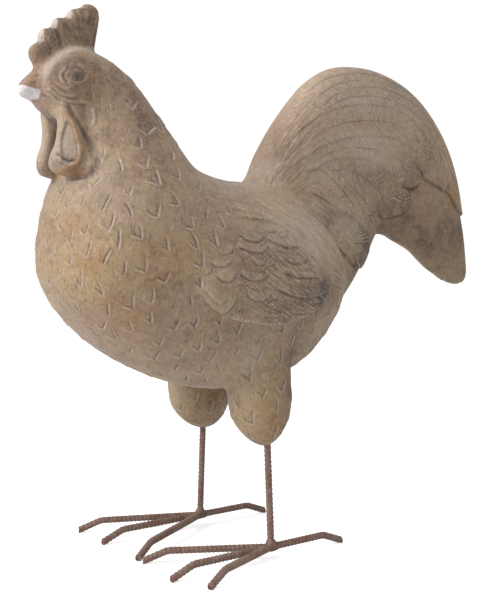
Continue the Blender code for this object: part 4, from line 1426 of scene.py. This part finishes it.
@dataclass
class Casting:
    """The cast body in its weathered finish, in closed pieces that meet at flat cuts."""

    grid: Grid
    names: tuple[str, ...] = tuple(
        f"casting_{part}" for part in ("tail", "rump", "flank", "breast", "head")
    )
    marks: ToolMarks = field(default_factory=ToolMarks)
    patch_fall: float = 0.8
    inner_thigh_wash: float = 0.34

    def build(self, material: Material) -> list[Object]:
        """Build, carve, paint and part the casting.

        Args:
            material: The weathered finish.

        Returns:
            The finished pieces, from the tail to the head.
        """
        skin = CastingForm(self.grid).build()
        LOG.info("form: %d points", len(skin.vertices))
        carver = Carver(self.grid, skin)
        carver.carve_wing()
        carver.comb_hair()
        carver.carve_tail()
        carver.carve_head()
        carver.settle()
        self.brush_patches(carver)
        carver.write(self.marks.press(carver))
        LOG.info("carved and painted")
        return self.part_skin(skin, carver.points, material)

    def brush_patches(self, carver: Carver) -> None:
        """Brush on the soft patches of colour, and painted shade inside the thighs.

        Args:
            carver: The carver, which knows the skin.
        """
        for paint, rows in PATCHES.items():
            for forward, above, half_length, half_height, strength in rows:
                along = (carver.forward - forward) / half_length
                over = (carver.above - above) / half_height
                amount = strength * np.exp(-self.patch_fall * (along**2 + over**2))
                carver.add_paint(paint, amount * (1 - carver.bare_tip))
        # Painted shade on the sides that face the middle, low down between the thighs
        inside = ramp(-carver.outward, -0.1, 0.5) * fall(carver.above, 88, 104)
        carver.brush(wash=self.inner_thigh_wash * inside)

    def part_skin(self, skin: Mesh, points: ndarray, material: Material) -> list[Object]:
        """Cut the skin into pieces of about as many faces each.

        Args:
            skin: The finished skin.
            points: Its points.
            material: The weathered finish.

        Returns:
            One closed piece for each name.
        """
        count = len(self.names)
        cuts = [float(np.quantile(points[:, 1], 1 - share / count)) for share in range(1, count)]
        bounds = [math.inf, *cuts, -math.inf]
        pieces = []
        for name, high, low in zip(self.names, bounds, bounds[1:]):
            shape = bmesh.new()
            shape.from_mesh(skin)
            for place, outward in ((high, 1), (low, -1)):
                if math.isinf(place):
                    continue
                found = bmesh.ops.bisect_plane(
                    shape, geom=[*shape.verts, *shape.edges, *shape.faces], dist=1e-7,
                    plane_co=(0, place, 0), plane_no=(0, outward, 0), clear_outer=True,
                )
                rim = [item for item in found["geom_cut"] if isinstance(item, BMEdge)]
                bmesh.ops.triangle_fill(shape, edges=rim, use_beauty=True, normal=(0, outward, 0))
            mesh = bpy.data.meshes.new(name)
            shape.to_mesh(mesh)
            shape.free()
            self.keep_shading(mesh)
            mesh.materials.append(material)
            pieces.append(new_piece(name, mesh))
        return pieces

    @staticmethod
    def keep_shading(mesh: Mesh) -> None:
        """Shade a cut piece as the whole skin was, and its flat cuts flat.

        Args:
            mesh: The cut piece.
        """
        mesh.shade_smooth()
        stored = read_all(mesh.attributes["skin_normal"].data, "vector")
        normals = stored[read_all(mesh.loops, "vertex_index", 1, np.int32)[:, 0]]
        sizes = read_all(mesh.polygons, "loop_total", 1, np.int32)[:, 0]
        by_corner = np.repeat(read_all(mesh.polygons, "normal"), sizes, axis=0)
        on_cut = (np.abs(by_corner[:, 1]) > 0.9999) & (np.abs(normals[:, 1]) < 0.995)
        normals[on_cut] = by_corner[on_cut]
        lengths = np.linalg.norm(normals, axis=1, keepdims=True)
        normals = np.where(lengths > 1e-6, normals / np.maximum(lengths, 1e-6), by_corner)
        mesh.normals_split_custom_set(normals.tolist())
        mesh.attributes.remove(mesh.attributes["skin_normal"])


# What the named or numbered inputs of a node are fed with: plain values or outputs
Feeds = dict[str | int, object]


@dataclass(frozen=True)
class Wire:
    """What a node puts out, with the sums that can be done on it."""

    bench: NodeBench
    socket: NodeSocket

    def __add__(self, other: object) -> Wire:
        """Add a number or another output."""
        return self.bench.math("ADD", self, other)

    def __sub__(self, other: object) -> Wire:
        """Take a number or another output away."""
        return self.bench.math("SUBTRACT", self, other)

    def __mul__(self, other: object) -> Wire:
        """Multiply by a number or another output."""
        return self.bench.math("MULTIPLY", self, other)

    def remap(self, low: object, high: object, start: float = 0.0, end: float = 1.0) -> Wire:
        """Stretch the range from low to high onto another, smoothly and within its ends."""
        feeds = {"Value": self, "From Min": low, "From Max": high, "To Min": start, "To Max": end}
        return self.bench.wire("ShaderNodeMapRange", feeds, interpolation_type="SMOOTHSTEP")

    def spread(self, start: float, end: float) -> Wire:
        """Stretch a mask from 0 to 1 onto another range."""
        return self.remap(0.0, 1.0, start, end)


class NodeBench:
    """A small bench for wiring nodes."""

    def __init__(self, tree: NodeTree) -> None:
        """Work on a tree."""
        self.tree = tree

    def add(self, kind: str, feeds: Feeds | None = None, **settings: object) -> Node:
        """Add a node.

        Args:
            kind: Blender's name for the node's type.
            feeds: What each named or numbered input is fed with.
            settings: The node's properties.

        Returns:
            The node.
        """
        node = self.tree.nodes.new(kind)
        count = len(self.tree.nodes)
        node.location = (count * 180, -(count % 5) * 160)
        for name, value in settings.items():
            setattr(node, name, value)
        self.feed_all(node, feeds or {})
        return node

    def wire(
        self, kind: str, feeds: Feeds | None = None, output: str | int = 0, **settings: object
    ) -> Wire:
        """Add a node in the same way and give one of its outputs."""
        return Wire(self, self.add(kind, feeds, **settings).outputs[output])

    def feed(self, socket: NodeSocket, value: object) -> None:
        """Set an input to a value, or link it to an output.

        Args:
            socket: The input.
            value: A plain value, an output, or None to leave the input as it is.
        """
        if isinstance(value, Wire):
            value = value.socket
        if isinstance(value, NodeSocket):
            self.tree.links.new(value, socket)
        elif value is not None:
            socket.default_value = value

    def feed_all(self, node: Node, feeds: Feeds) -> None:
        """Feed several inputs of a node, given by their names or numbers."""
        for name, value in feeds.items():
            self.feed(node.inputs[name], value)

    def math(self, operation: str, first: object, second: object = None) -> Wire:
        """Work out a number by one of the math node's operations."""
        return self.wire("ShaderNodeMath", {0: first, 1: second}, operation=operation)

    def larger(self, first: object, second: object) -> Wire:
        """Give the larger of two numbers."""
        return self.math("MAXIMUM", first, second)

    def blend(self, share: object, first: object, second: object, mode: str = "MIX") -> Wire:
        """Mix a share of the second colour into the first."""
        settings = {"data_type": "RGBA", "blend_type": mode, "clamp_factor": True}
        return self.wire("ShaderNodeMix", {0: share, 6: first, 7: second}, 2, **settings)

    def noise(self, vector: object, scale: object, detail: float, roughness: float) -> Wire:
        """Read a noise of that scale, detail and roughness at a coordinate."""
        feeds = {"Vector": vector, "Scale": scale, "Detail": detail, "Roughness": roughness}
        return self.wire("ShaderNodeTexNoise", feeds)

    def attribute(self, name: str, output: str = "Fac") -> Wire:
        """Read a named attribute of the piece."""
        return self.wire("ShaderNodeAttribute", output=output, attribute_name=name)

    def parts(self, vector: Wire) -> list[Wire]:
        """Split a vector into its three numbers."""
        return [Wire(self, output) for output in self.add("ShaderNodeSeparateXYZ", {0: vector}).outputs]

    def vector(self, first: object, second: object = 0.0, third: object = 0.0) -> Wire:
        """Make a vector of three numbers."""
        return self.wire("ShaderNodeCombineXYZ", {0: first, 1: second, 2: third})

    def dent(self, shader: Node, height: Wire) -> None:
        """Give a shader's surface fine relief of a height in millimetres."""
        self.feed(shader.inputs["Normal"], self.wire("ShaderNodeBump", {"Distance": MM, "Height": height}))


def new_material(name: str) -> tuple[Material, Node, NodeBench]:
    """Start a material.

    Args:
        name: Its name.

    Returns:
        The material, its shader and a bench to work on it.
    """
    material = bpy.data.materials.new(name)
    material.use_nodes = True
    return material, material.node_tree.nodes["Principled BSDF"], NodeBench(material.node_tree)


def new_group(name: str, sizes: dict[str, float], output: str) -> tuple[NodeTree, NodeBench]:
    """Start a shader node group that reads a coordinate and gives one number.

    Args:
        name: The group's name.
        sizes: Its further inputs' names and usual values.
        output: The output's name.

    Returns:
        The group and a bench to work on it.
    """
    group = bpy.data.node_groups.new(name, "ShaderNodeTree")
    group.interface.new_socket(name="Vector", in_out="INPUT", socket_type="NodeSocketVector")
    for label, value in sizes.items():
        socket = group.interface.new_socket(name=label, in_out="INPUT", socket_type="NodeSocketFloat")
        socket.default_value = value
    group.interface.new_socket(name=output, in_out="OUTPUT", socket_type="NodeSocketFloat")
    return group, NodeBench(group)


class SharedEffects:
    """The effects that both finishes use, each a node group that is built once."""

    def __init__(self) -> None:
        """Build the groups."""
        self.mottle = self.build_mottle()
        self.grit = self.build_grit()

    @staticmethod
    def build_mottle() -> NodeTree:
        """Build an uneven mask of soft blots.

        Returns:
            The node group.
        """
        group, bench = new_group("Mottle", {"Scale": 20.0, "Low": 0.35, "High": 0.65}, "Mask")
        given = bench.add("NodeGroupInput").outputs
        value = bench.noise(given["Vector"], given["Scale"], 5.0, 0.6)
        bench.add("NodeGroupOutput", {"Mask": value.remap(given["Low"], given["High"])})
        return group

    @staticmethod
    def build_grit() -> NodeTree:
        """Build a fine grain with pits, as a number around a half.

        Returns:
            The node group.
        """
        group, bench = new_group("Grit", {"Scale": 900.0}, "Value")
        given = bench.add("NodeGroupInput").outputs
        fine = bench.noise(given["Vector"], given["Scale"], 4.0, 0.7)
        coarse = bench.noise(given["Vector"], Wire(bench, given["Scale"]) * 0.28, 3.0, 0.6)
        bench.add("NodeGroupOutput", {"Value": fine * 0.55 + coarse * 0.45})
        return group

    def blots(self, bench: NodeBench, where: Wire, scale: float, low: float, high: float) -> Wire:
        """Place the blots in a material, with that scale and between those levels of their noise."""
        feeds = {"Vector": where, "Scale": scale, "Low": low, "High": high}
        return bench.wire("ShaderNodeGroup", feeds, node_tree=self.mottle)

    def grain(self, bench: NodeBench, where: Wire, scale: float) -> Wire:
        """Place the fine grain in a material, with that scale."""
        return bench.wire("ShaderNodeGroup", {"Vector": where, "Scale": scale}, node_tree=self.grit)


Colour = tuple[float, float, float, float]


@dataclass(frozen=True)
class WeatheredCasting:
    """The casting's finish: tan over grey-brown, rubbed with ochre, rust, dark and pale washes, which also
    lay painted shade and painted highlights.
    """

    tan: Colour = (0.360, 0.258, 0.162, 1)
    olive: Colour = (0.415, 0.312, 0.170, 1)
    grey_brown: Colour = (0.252, 0.182, 0.134, 1)
    pinkish: Colour = (0.370, 0.242, 0.180, 1)
    horn: Colour = (0.70, 0.65, 0.66, 1)
    ochre: Colour = (0.48, 0.335, 0.158, 1)
    orange: Colour = (0.40, 0.205, 0.080, 1)
    rust: Colour = (0.215, 0.120, 0.074, 1)
    wash: Colour = (0.086, 0.054, 0.044, 1)
    pale: Colour = (0.56, 0.465, 0.40, 1)
    strand: Colour = (0.60, 0.475, 0.345, 1)
    hatch_spacing: float = 2.9
    roughness: tuple[float, float] = (0.58, 0.76)
    specular: float = 0.35
    sheen: float = 0.12
    sheen_roughness: float = 0.45
    sheen_tint: Colour = (1.0, 0.95, 0.98, 1)

    def make(self, effects: SharedEffects) -> Material:
        """Build the material.

        Args:
            effects: The shared node groups.

        Returns:
            The material.
        """
        material, shader, bench = new_material("weathered_casting")
        where = bench.wire("ShaderNodeTexCoord", output="Object")
        paint = bench.add("ShaderNodeAttribute", attribute_name="paint").outputs
        channels = bench.add("ShaderNodeSeparateColor", {0: paint["Color"]}).outputs
        wash, ochre, rust = (Wire(bench, channel) for channel in channels[:3])
        pale = Wire(bench, paint["Alpha"])
        hollow = bench.attribute("hollow")
        plain = bench.attribute("plain")
        huge = effects.blots(bench, where, 8.0, 0.36, 0.66)
        broad = effects.blots(bench, where, 17.0, 0.38, 0.64)
        medium = effects.blots(bench, where, 46.0, 0.40, 0.62)
        small = effects.blots(bench, where, 170.0, 0.42, 0.60)
        grit = effects.grain(bench, where, 900.0)
        hatch, bright_hatch, hatch_height = self.hatching(bench, where)
        hair, bright_hair = self.hair(bench)
        streak, bright_streak = self.streaks(bench, where)

        uneven = medium.spread(0.5, 1.0)
        dark = bench.larger(wash * medium.spread(0.66, 1.0), wash.remap(0.84, 1.0))
        worn = hollow.remap(-0.1, -1.0, 0.0, 0.32) * bench.math("SUBTRACT", 1.0, wash)
        # The dark colour lays the dark wash together with painted shade and shadow; the pale colour lays
        # pale paint together with painted highlights
        layers = (
            (broad, self.olive),
            (huge * broad.spread(1.0, 0.45), self.pinkish),
            (huge.remap(0.0, 0.7, 0.75, 0.15) * medium.spread(0.6, 1.0), self.grey_brown),
            (ochre * uneven * 0.75, self.ochre),
            (rust * 0.42, self.rust),
            (rust * small * 0.6, self.rust),
            (rust * ochre * uneven * 1.2, self.orange),
            (dark * 0.88 + medium * small * 0.22, self.wash),
            (hollow.remap(0.05, 1.0, 0.0, 0.40), self.wash),
            (bench.larger(pale * small.spread(0.72, 0.95), worn), self.pale),
            (bench.larger(hatch, hair) * 0.36, self.wash),
            (streak * plain.spread(0.06, 0.30), self.wash),
            (bright_streak * plain.spread(0.06, 0.20), self.pale),
            (bench.larger(bright_hair * 0.62, bright_hatch * 0.6), self.strand),
            (bench.attribute("horn") * small.spread(0.98, 0.85), self.horn),
        )
        colour: object = self.tan
        for share, layer in layers:
            colour = bench.blend(share, colour, layer)
        tone = grit.remap(0.36, 0.64, 0.84, 1.14)
        shade = bench.wire("ShaderNodeCombineColor", {0: tone, 1: tone, 2: tone})
        feeds = {
            "Base Color": bench.blend(1.0, colour, shade, "MULTIPLY"),
            "Roughness": medium.spread(*self.roughness),
            "Specular IOR Level": self.specular,
            "Sheen Weight": self.sheen,
            "Sheen Roughness": self.sheen_roughness,
            "Sheen Tint": self.sheen_tint,
        }
        bench.feed_all(shader, feeds)
        height = grit * 0.16 + hatch_height * 0.22 - hair * 0.28 + bright_hair * 0.20
        height = height - streak * plain.spread(0.10, 0.24) + bright_streak * 0.15
        bench.dent(shader, height)
        return material

    def hatching(self, bench: NodeBench, where: Wire) -> tuple[Wire, Wire, Wire]:
        """Draw the barbs of the feathers, slanting away from each shaft.

        Args:
            bench: The bench of the material.
            where: The object coordinates.

        Returns:
            How dark the grooves between the barbs are, how bright the barbs are, and their height.
        """
        along, aside, strength = bench.parts(bench.attribute("barb", "Vector"))
        wobble = bench.noise(where, 70.0, 2.0, 0.5)
        way = along + bench.math("ABSOLUTE", aside) * 0.8 + wobble * 6.0
        even = bench.math("SINE", way * (math.tau / self.hatch_spacing))
        uneven = bench.noise(bench.vector(way * 0.6, aside * 0.11), 1.0, 2.0, 0.6)
        wave = even * 0.62 + uneven.remap(0.3, 0.7, -1.3, 1.3) * 0.62
        strength = strength * bench.noise(where, 60.0, 3.0, 0.6).remap(0.36, 0.56, 0.28, 1.0)
        groove = wave.remap(0.2, 1.0) * strength
        bright = wave.remap(-0.3, -1.0) * strength
        return groove, bright, wave * -1.0 * strength

    @staticmethod
    def hair(bench: NodeBench) -> tuple[Wire, Wire]:
        """Draw the fine hair that runs along the hair attribute's lines.

        Args:
            bench: The bench of the material.

        Returns:
            How dark the grooves between the hairs are, and how bright the hairs are.
        """
        along, aside, strength = bench.parts(bench.attribute("hair", "Vector"))
        strands = bench.noise(bench.vector(along * 0.045, aside * 0.62), 1.0, 3.0, 0.6)
        return strands.remap(0.47, 0.36) * strength, strands.remap(0.53, 0.66) * strength

    @staticmethod
    def streaks(bench: NodeBench, where: Wire) -> tuple[Wire, Wire]:
        """Draw fine curved scratches in several directions.

        Args:
            bench: The bench of the material.
            where: The object coordinates.

        Returns:
            The dark scratches and the bright ones.
        """
        drift = bench.wire("ShaderNodeTexNoise", {"Vector": where, "Scale": 22.0, "Detail": 2.0}, "Color")
        feeds = {0: drift, 1: (0.03, 0.03, 0.03), 2: where}
        bent = bench.wire("ShaderNodeVectorMath", feeds, operation="MULTIPLY_ADD")
        drawn = []
        for scale, turn in (((520, 520, 75), 0.3), ((460, 460, 80), -0.75), ((500, 90, 500), 0.5)):
            feeds = {"Vector": bent, "Rotation": (turn, 0.0, 0.0), "Scale": scale}
            drawn.append(bench.noise(bench.wire("ShaderNodeMapping", feeds), 1.0, 2.0, 0.5))
        steep, slanted, flat = drawn
        dark = bench.larger(steep.remap(0.60, 0.70), flat.remap(0.62, 0.72))
        bright = bench.larger(slanted.remap(0.60, 0.70), steep.remap(0.38, 0.30))
        return dark, bright


@dataclass(frozen=True)
class RustedBar:
    """The bars' finish: a dull pinkish brown coat over rusty steel."""

    coat: Colour = (0.236, 0.150, 0.115, 1)
    grey: Colour = (0.330, 0.270, 0.235, 1)
    rust: Colour = (0.185, 0.082, 0.050, 1)
    dark: Colour = (0.085, 0.060, 0.050, 1)
    metallic: float = 0.15

    def make(self, effects: SharedEffects) -> Material:
        """Build the material.

        Args:
            effects: The shared node groups.

        Returns:
            The material.
        """
        material, shader, bench = new_material("rusted_bar")
        where = bench.wire("ShaderNodeTexCoord", output="Object")
        broad = effects.blots(bench, where, 38.0, 0.40, 0.62)
        small = effects.blots(bench, where, 210.0, 0.44, 0.62)
        grit = effects.grain(bench, where, 1200.0)
        colour = bench.blend(broad * 0.7, self.coat, self.rust)
        colour = bench.blend(small * 0.45, colour, self.grey)
        colour = bench.blend(grit.remap(0.53, 0.66, 0.0, 0.6), colour, self.dark)
        feeds = {"Base Color": colour, "Roughness": small.spread(0.55, 0.75), "Metallic": self.metallic}
        bench.feed_all(shader, feeds)
        bench.dent(shader, grit * 0.35)
        return material


@dataclass
class RibbedBar:
    """Ribbed steel bar along a curve, by Geometry Nodes."""

    core_radius: float = 0.0031
    rib_radius: float = 0.0036
    rib_spacing: float = 0.0042
    rib_width: float = 0.0016
    rib_slant: float = math.radians(24)
    sides: int = 20
    rib_sides: int = 6
    sharp_from: float = math.radians(50)

    def sizes(self) -> dict[str, float]:
        """Give the sizes by the names of the tree's inputs."""
        return {
            "Core radius": self.core_radius,
            "Rib radius": self.rib_radius,
            "Rib spacing": self.rib_spacing,
            "Rib width": self.rib_width,
            "Rib slant": self.rib_slant,
        }

    def make_tree(self) -> NodeTree:
        """Build the node tree with named inputs for its sizes.

        Returns:
            The tree.
        """
        tree = bpy.data.node_groups.new("Ribbed bar", "GeometryNodeTree")
        face = tree.interface
        face.new_socket(name="Path", in_out="INPUT", socket_type="NodeSocketGeometry")
        for label in self.sizes():
            face.new_socket(name=label, in_out="INPUT", socket_type="NodeSocketFloat")
        face.new_socket(name="Finish", in_out="INPUT", socket_type="NodeSocketMaterial")
        face.new_socket(name="Bar", in_out="OUTPUT", socket_type="NodeSocketGeometry")
        bench = NodeBench(tree)
        given = bench.add("NodeGroupInput").outputs
        path = given["Path"]
        slant = Wire(bench, given["Rib slant"])
        half = Wire(bench, given["Rib width"]) * 0.5

        circle = "GeometryNodeCurvePrimitiveCircle"
        section = bench.wire(circle, {"Resolution": self.sides, "Radius": given["Core radius"]})
        feeds = {"Curve": path, "Profile Curve": section, "Fill Caps": True}
        core = bench.wire("GeometryNodeCurveToMesh", feeds)

        rib_middle = Wire(bench, given["Rib radius"]) - half
        ring = bench.wire(circle, {"Resolution": self.sides, "Radius": rib_middle})
        section = bench.wire(circle, {"Resolution": self.rib_sides, "Radius": half})
        rib = bench.wire("GeometryNodeCurveToMesh", {"Curve": ring, "Profile Curve": section})
        scale = bench.vector(1.0, bench.math("DIVIDE", 1.0, bench.math("COSINE", slant)), 1.0)
        widened = bench.wire("GeometryNodeTransform", {"Geometry": rib, "Scale": scale})
        feeds = {"Geometry": widened, "Rotation": bench.vector(slant)}
        leaning = bench.wire("GeometryNodeTransform", feeds)

        feeds = {"Curve": path, "Length": given["Rib spacing"]}
        stops = bench.add("GeometryNodeCurveToPoints", feeds, mode="LENGTH").outputs
        feeds = {"Points": stops["Points"], "Instance": leaning, "Rotation": stops["Rotation"]}
        joined = bench.add("GeometryNodeJoinGeometry")
        bench.feed(joined.inputs[0], bench.wire("GeometryNodeInstanceOnPoints", feeds))
        bench.feed(joined.inputs[0], core)
        real = bench.wire("GeometryNodeRealizeInstances", {0: joined.outputs[0]})
        feeds = {"Geometry": real, "Material": given["Finish"]}
        bench.add("NodeGroupOutput", {"Bar": bench.wire("GeometryNodeSetMaterial", feeds)})
        return tree

    def lay(self, name: str, path: list[Vector], tree: NodeTree, finish: Material) -> Object:
        """Lay a bar along a path.

        Args:
            name: The piece's name.
            path: Points of its centre line.
            tree: The node tree of the bar.
            finish: Its material.

        Returns:
            The bar as a plain mesh object.
        """
        curve = bpy.data.curves.new(name, "CURVE")
        curve.dimensions = "3D"
        spline = curve.splines.new("POLY")
        spline.points.add(len(path) - 1)
        for point, place in zip(spline.points, path):
            point.co = (*place, 1)
        drawn = bpy.data.objects.new(f"{name}_path", curve)
        bpy.context.scene.collection.objects.link(drawn)
        nodes = drawn.modifiers.new("Ribbed bar", "NODES")
        nodes.node_group = tree
        sizes = {**self.sizes(), "Finish": finish}
        for item in tree.interface.items_tree:
            if item.item_type == "SOCKET" and item.in_out == "INPUT" and item.name in sizes:
                nodes[item.identifier] = sizes[item.name]
        mesh = evaluated_mesh(drawn)
        bpy.data.objects.remove(drawn)
        points = read_points(mesh)
        points[:, 2] = np.maximum(points[:, 2], 0.0)
        write_points(mesh, points)
        mesh.shade_smooth()
        mesh.set_sharp_from_angle(angle=self.sharp_from)
        return new_piece(name, mesh)


@dataclass(frozen=True)
class Toe:
    """One toe: its turn from straight ahead towards the outside, and its length."""

    name: str
    turn: float
    length: float


@dataclass
class Foot:
    """A leg bar with its four toes and the weld that holds them."""

    grid: Grid
    name: str
    side: int
    toes: tuple[Toe, ...]
    foot_from_middle: float = 0.063
    thigh_from_middle: float = 0.057
    toe_height: float = 0.0115
    drop_length: float = 0.022
    bend_radius: float = 0.016
    bar_radius: float = 0.0036
    flat_depth: float = 0.0006
    socket_depth: float = 0.020
    bend_steps: int = 6
    weld_voxel: float = 0.0009
    weld_bumps: float = 1.6

    def weld_point(self) -> Vector:
        """Give the point where the foot's bars meet."""
        across = self.grid.middle + self.side * self.foot_from_middle
        return Vector((across, self.grid.legs, self.toe_height))

    def thigh_point(self) -> Vector:
        """Give the point where the leg enters the thigh."""
        return Vector((self.grid.middle + self.side * self.thigh_from_middle, self.grid.legs, THIGH_FLOOR))

    def leg_path(self) -> list[Vector]:
        """Give the leg's centre line from the weld into the thigh.

        Returns:
            The ends of the line.
        """
        foot = self.weld_point()
        ahead = (self.thigh_point() - foot).normalized()
        return [foot - ahead * self.bar_radius * 0.5, self.thigh_point() + ahead * self.socket_depth]

    def toe_path(self, toe: Toe) -> list[Vector]:
        """Give a toe's centre line from the weld to its tip on the floor.

        Args:
            toe: The toe.

        Returns:
            Points of the line.
        """
        slope = math.atan2(self.toe_height - self.bar_radius, self.drop_length)
        tip_height = self.bar_radius * math.cos(slope) - self.flat_depth
        slope = math.atan2(self.toe_height - tip_height, self.drop_length)
        bend_start = toe.length - self.drop_length - self.bend_radius * math.tan(slope / 2)
        path = [Vector((0, -0.002, self.toe_height))]
        for step in range(self.bend_steps + 1):
            turn = slope * step / self.bend_steps
            forward = bend_start + self.bend_radius * math.sin(turn)
            path.append(Vector((0, -forward, self.toe_height - self.bend_radius * (1 - math.cos(turn)))))
        path.append(Vector((0, -toe.length, tip_height)))
        turned = Matrix.Rotation(self.side * toe.turn, 4, "Z")
        weld = self.weld_point()
        return [turned @ place + Vector((weld.x, weld.y, 0)) for place in path]

    def build(self, tree: NodeTree, bar: RibbedBar, finish: Material) -> list[Object]:
        """Build the leg, the toes and the weld.

        Args:
            tree: The node tree of the ribbed bar.
            bar: The bar's sizes.
            finish: Its material.

        Returns:
            The finished pieces.
        """
        paths = {f"leg_{self.name}": self.leg_path()}
        for toe in self.toes:
            paths[f"toe_{self.name}_{toe.name}"] = self.toe_path(toe)
        pieces = []
        for solid, path in paths.items():
            made = bar.lay(f"{solid}_bar", path, tree, finish)
            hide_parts(solid)
            pieces.append(made)
        pieces.append(self.build_weld(finish))
        return pieces

    def build_weld(self, finish: Material) -> Object:
        """Build the bead around the joint and the webs between the front toes.

        Args:
            finish: The bars' material.

        Returns:
            The weld.
        """
        shape = bmesh.new()
        weld = self.weld_point()
        up = (self.thigh_point() - weld).normalized()
        blobs = [(weld, (5.2, 5.2, 4.6), 0.0), (weld + up * 0.004, (4.5, 4.5, 4.5), 0.0)]
        forward = sorted(self.side * toe.turn for toe in self.toes if abs(toe.turn) < math.pi / 2)
        for first, second in zip(forward, forward[1:]):
            turn = (first + second) / 2
            ahead = Vector((math.sin(turn), -math.cos(turn), 0))
            blobs.append((weld + ahead * 0.009, (4.0, 11.0, 2.7), turn))
            blobs.append((weld + ahead * 0.016, (4.6, 7.0, 2.2), turn))
        blobs.append((weld + Vector((0, 0.005, 0)), (4.2, 6.0, 3.8), 0.0))
        for centre, size, turn in blobs:
            place = Matrix.Translation(centre) @ Matrix.Rotation(turn, 4, "Z")
            place = place @ Matrix.Diagonal((size[0] * MM, size[1] * MM, size[2] * MM, 1))
            bmesh.ops.create_icosphere(shape, subdivisions=3, radius=1, matrix=place)
        lump = melted(f"weld_{self.name}_form", shape, self.weld_voxel)
        points = read_points(lump.data)
        near = Neighbours(lump.data)
        points = near.rub(points, np.full(len(points), 0.7), 4)
        source = np.random.default_rng(3 if self.side > 0 else 4)
        bumps = near.rub(source.normal(0, 1, (len(points), 1)), np.ones(len(points)), 5)[:, 0]
        write_points(lump.data, points)
        raised = points + read_normals(lump.data) * (bumps * self.weld_bumps * MM)[:, None]
        write_points(lump.data, raised)
        lump.data.shade_smooth()
        lump.data.materials.append(finish)
        made = new_piece(f"weld_{self.name}", lump.data)
        bpy.data.objects.remove(lump)
        return made


@dataclass
class Studio:
    """A plain pale floor, soft light and the camera."""

    grid: Grid
    azimuth: float = math.radians(55.63)
    dip: float = math.radians(3.67)
    distance: float = 0.9147
    aside: float = 0.00785
    height: float = 0.299
    focal_length: float = 56.2

    def build(self) -> None:
        """Build the stage, the lights and the camera."""
        self.build_floor()
        self.build_world()
        self.build_lights()
        self.build_camera()

    @staticmethod
    def build_floor() -> None:
        """Lay a broad pale floor."""
        mesh = bpy.data.meshes.new("floor")
        half = 30.0
        corners = [(-half, -half, 0), (half, -half, 0), (half, half, 0), (-half, half, 0)]
        mesh.from_pydata(corners, [], [(0, 1, 2, 3)])
        floor = new_piece("floor", mesh)
        finish, shader, bench = new_material("floor_paint")
        seen = bench.wire("ShaderNodeLightPath", output="Is Camera Ray")
        feeds = {
            "Base Color": (0.80, 0.80, 0.80, 1),
            "Roughness": 0.9,
            "Specular IOR Level": 0.1,
            "Emission Color": (1.0, 1.0, 1.0, 1),
            "Emission Strength": seen * 0.62,
        }
        bench.feed_all(shader, feeds)
        mesh.materials.append(finish)

    @staticmethod
    def build_world() -> None:
        """Light the scene evenly from all round."""
        world = bpy.data.worlds.new("studio")
        bpy.context.scene.world = world
        world.use_nodes = True
        backdrop = world.node_tree.nodes["Background"]
        bench = NodeBench(world.node_tree)
        seen = bench.wire("ShaderNodeLightPath", output="Is Camera Ray")
        bench.feed_all(backdrop, {"Color": (1.0, 1.0, 1.0, 1), "Strength": seen.spread(0.52, 1.05)})

    @staticmethod
    def build_lights() -> None:
        """Hang a broad light above and one to the left of the camera."""
        plans = (
            ("key", (-0.25, -1.7, 1.25), 1.1, 30.0),
            ("top", (0.4, -0.3, 2.2), 1.6, 14.0),
        )
        for name, place, size, power in plans:
            lamp = bpy.data.lights.new(name, "AREA")
            lamp.shape = "DISK"
            lamp.size = size
            lamp.energy = power
            holder = bpy.data.objects.new(name, lamp)
            holder.location = place
            aim = Vector((0, 0, 0.25)) - Vector(place)
            holder.rotation_euler = aim.to_track_quat("-Z", "Y").to_euler()
            bpy.context.scene.collection.objects.link(holder)

    def build_camera(self) -> None:
        """Set the camera at the photograph's angle."""
        right = Vector((math.cos(self.azimuth), math.sin(self.azimuth), 0))
        ahead = Vector((-math.sin(self.azimuth), math.cos(self.azimuth), 0))
        camera = bpy.data.cameras.new("camera")
        camera.lens = self.focal_length
        camera.sensor_width = 36.0
        holder = bpy.data.objects.new("camera", camera)
        place = right * self.aside - ahead * self.distance
        holder.location = (place.x + self.grid.middle, place.y + self.grid.legs, self.height)
        holder.rotation_euler = Euler((math.pi / 2 - self.dip, 0, self.azimuth))
        bpy.context.scene.collection.objects.link(holder)
        bpy.context.scene.camera = holder


def main() -> None:
    """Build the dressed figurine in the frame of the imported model."""
    logging.basicConfig(level=logging.INFO, format="%(name)s: %(message)s", stream=sys.stdout)
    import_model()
    bpy.context.scene.view_settings.view_transform = "Standard"
    grid = Grid.from_frame()
    effects = SharedEffects()
    casting_finish = WeatheredCasting().make(effects)
    bar_finish = RustedBar().make(effects)

    for piece in Casting(grid).build(casting_finish):
        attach(piece, "root")
        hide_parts("body")
        LOG.info("%s: %d faces", piece.name, len(piece.data.polygons))

    bar = RibbedBar()
    tree = bar.make_tree()
    left_toes = (
        Toe("inner", -math.radians(28), 0.119),
        Toe("middle", 0.0, 0.107),
        Toe("outer", math.radians(21), 0.095),
        Toe("back", math.pi, 0.085),
    )
    right_toes = (
        Toe("inner", -math.radians(30), 0.122),
        Toe("middle", 0.0, 0.112),
        Toe("outer", math.radians(23), 0.125),
        Toe("back", math.pi, 0.082),
    )
    for name, side, toes in (("left", 1, left_toes), ("right", -1, right_toes)):
        for piece in Foot(grid, name, side, toes).build(tree, bar, bar_finish):
            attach(piece, "root")
            LOG.info("%s: %d faces", piece.name, len(piece.data.polygons))

    Studio(grid).build()


if __name__ == "__main__":
    main()
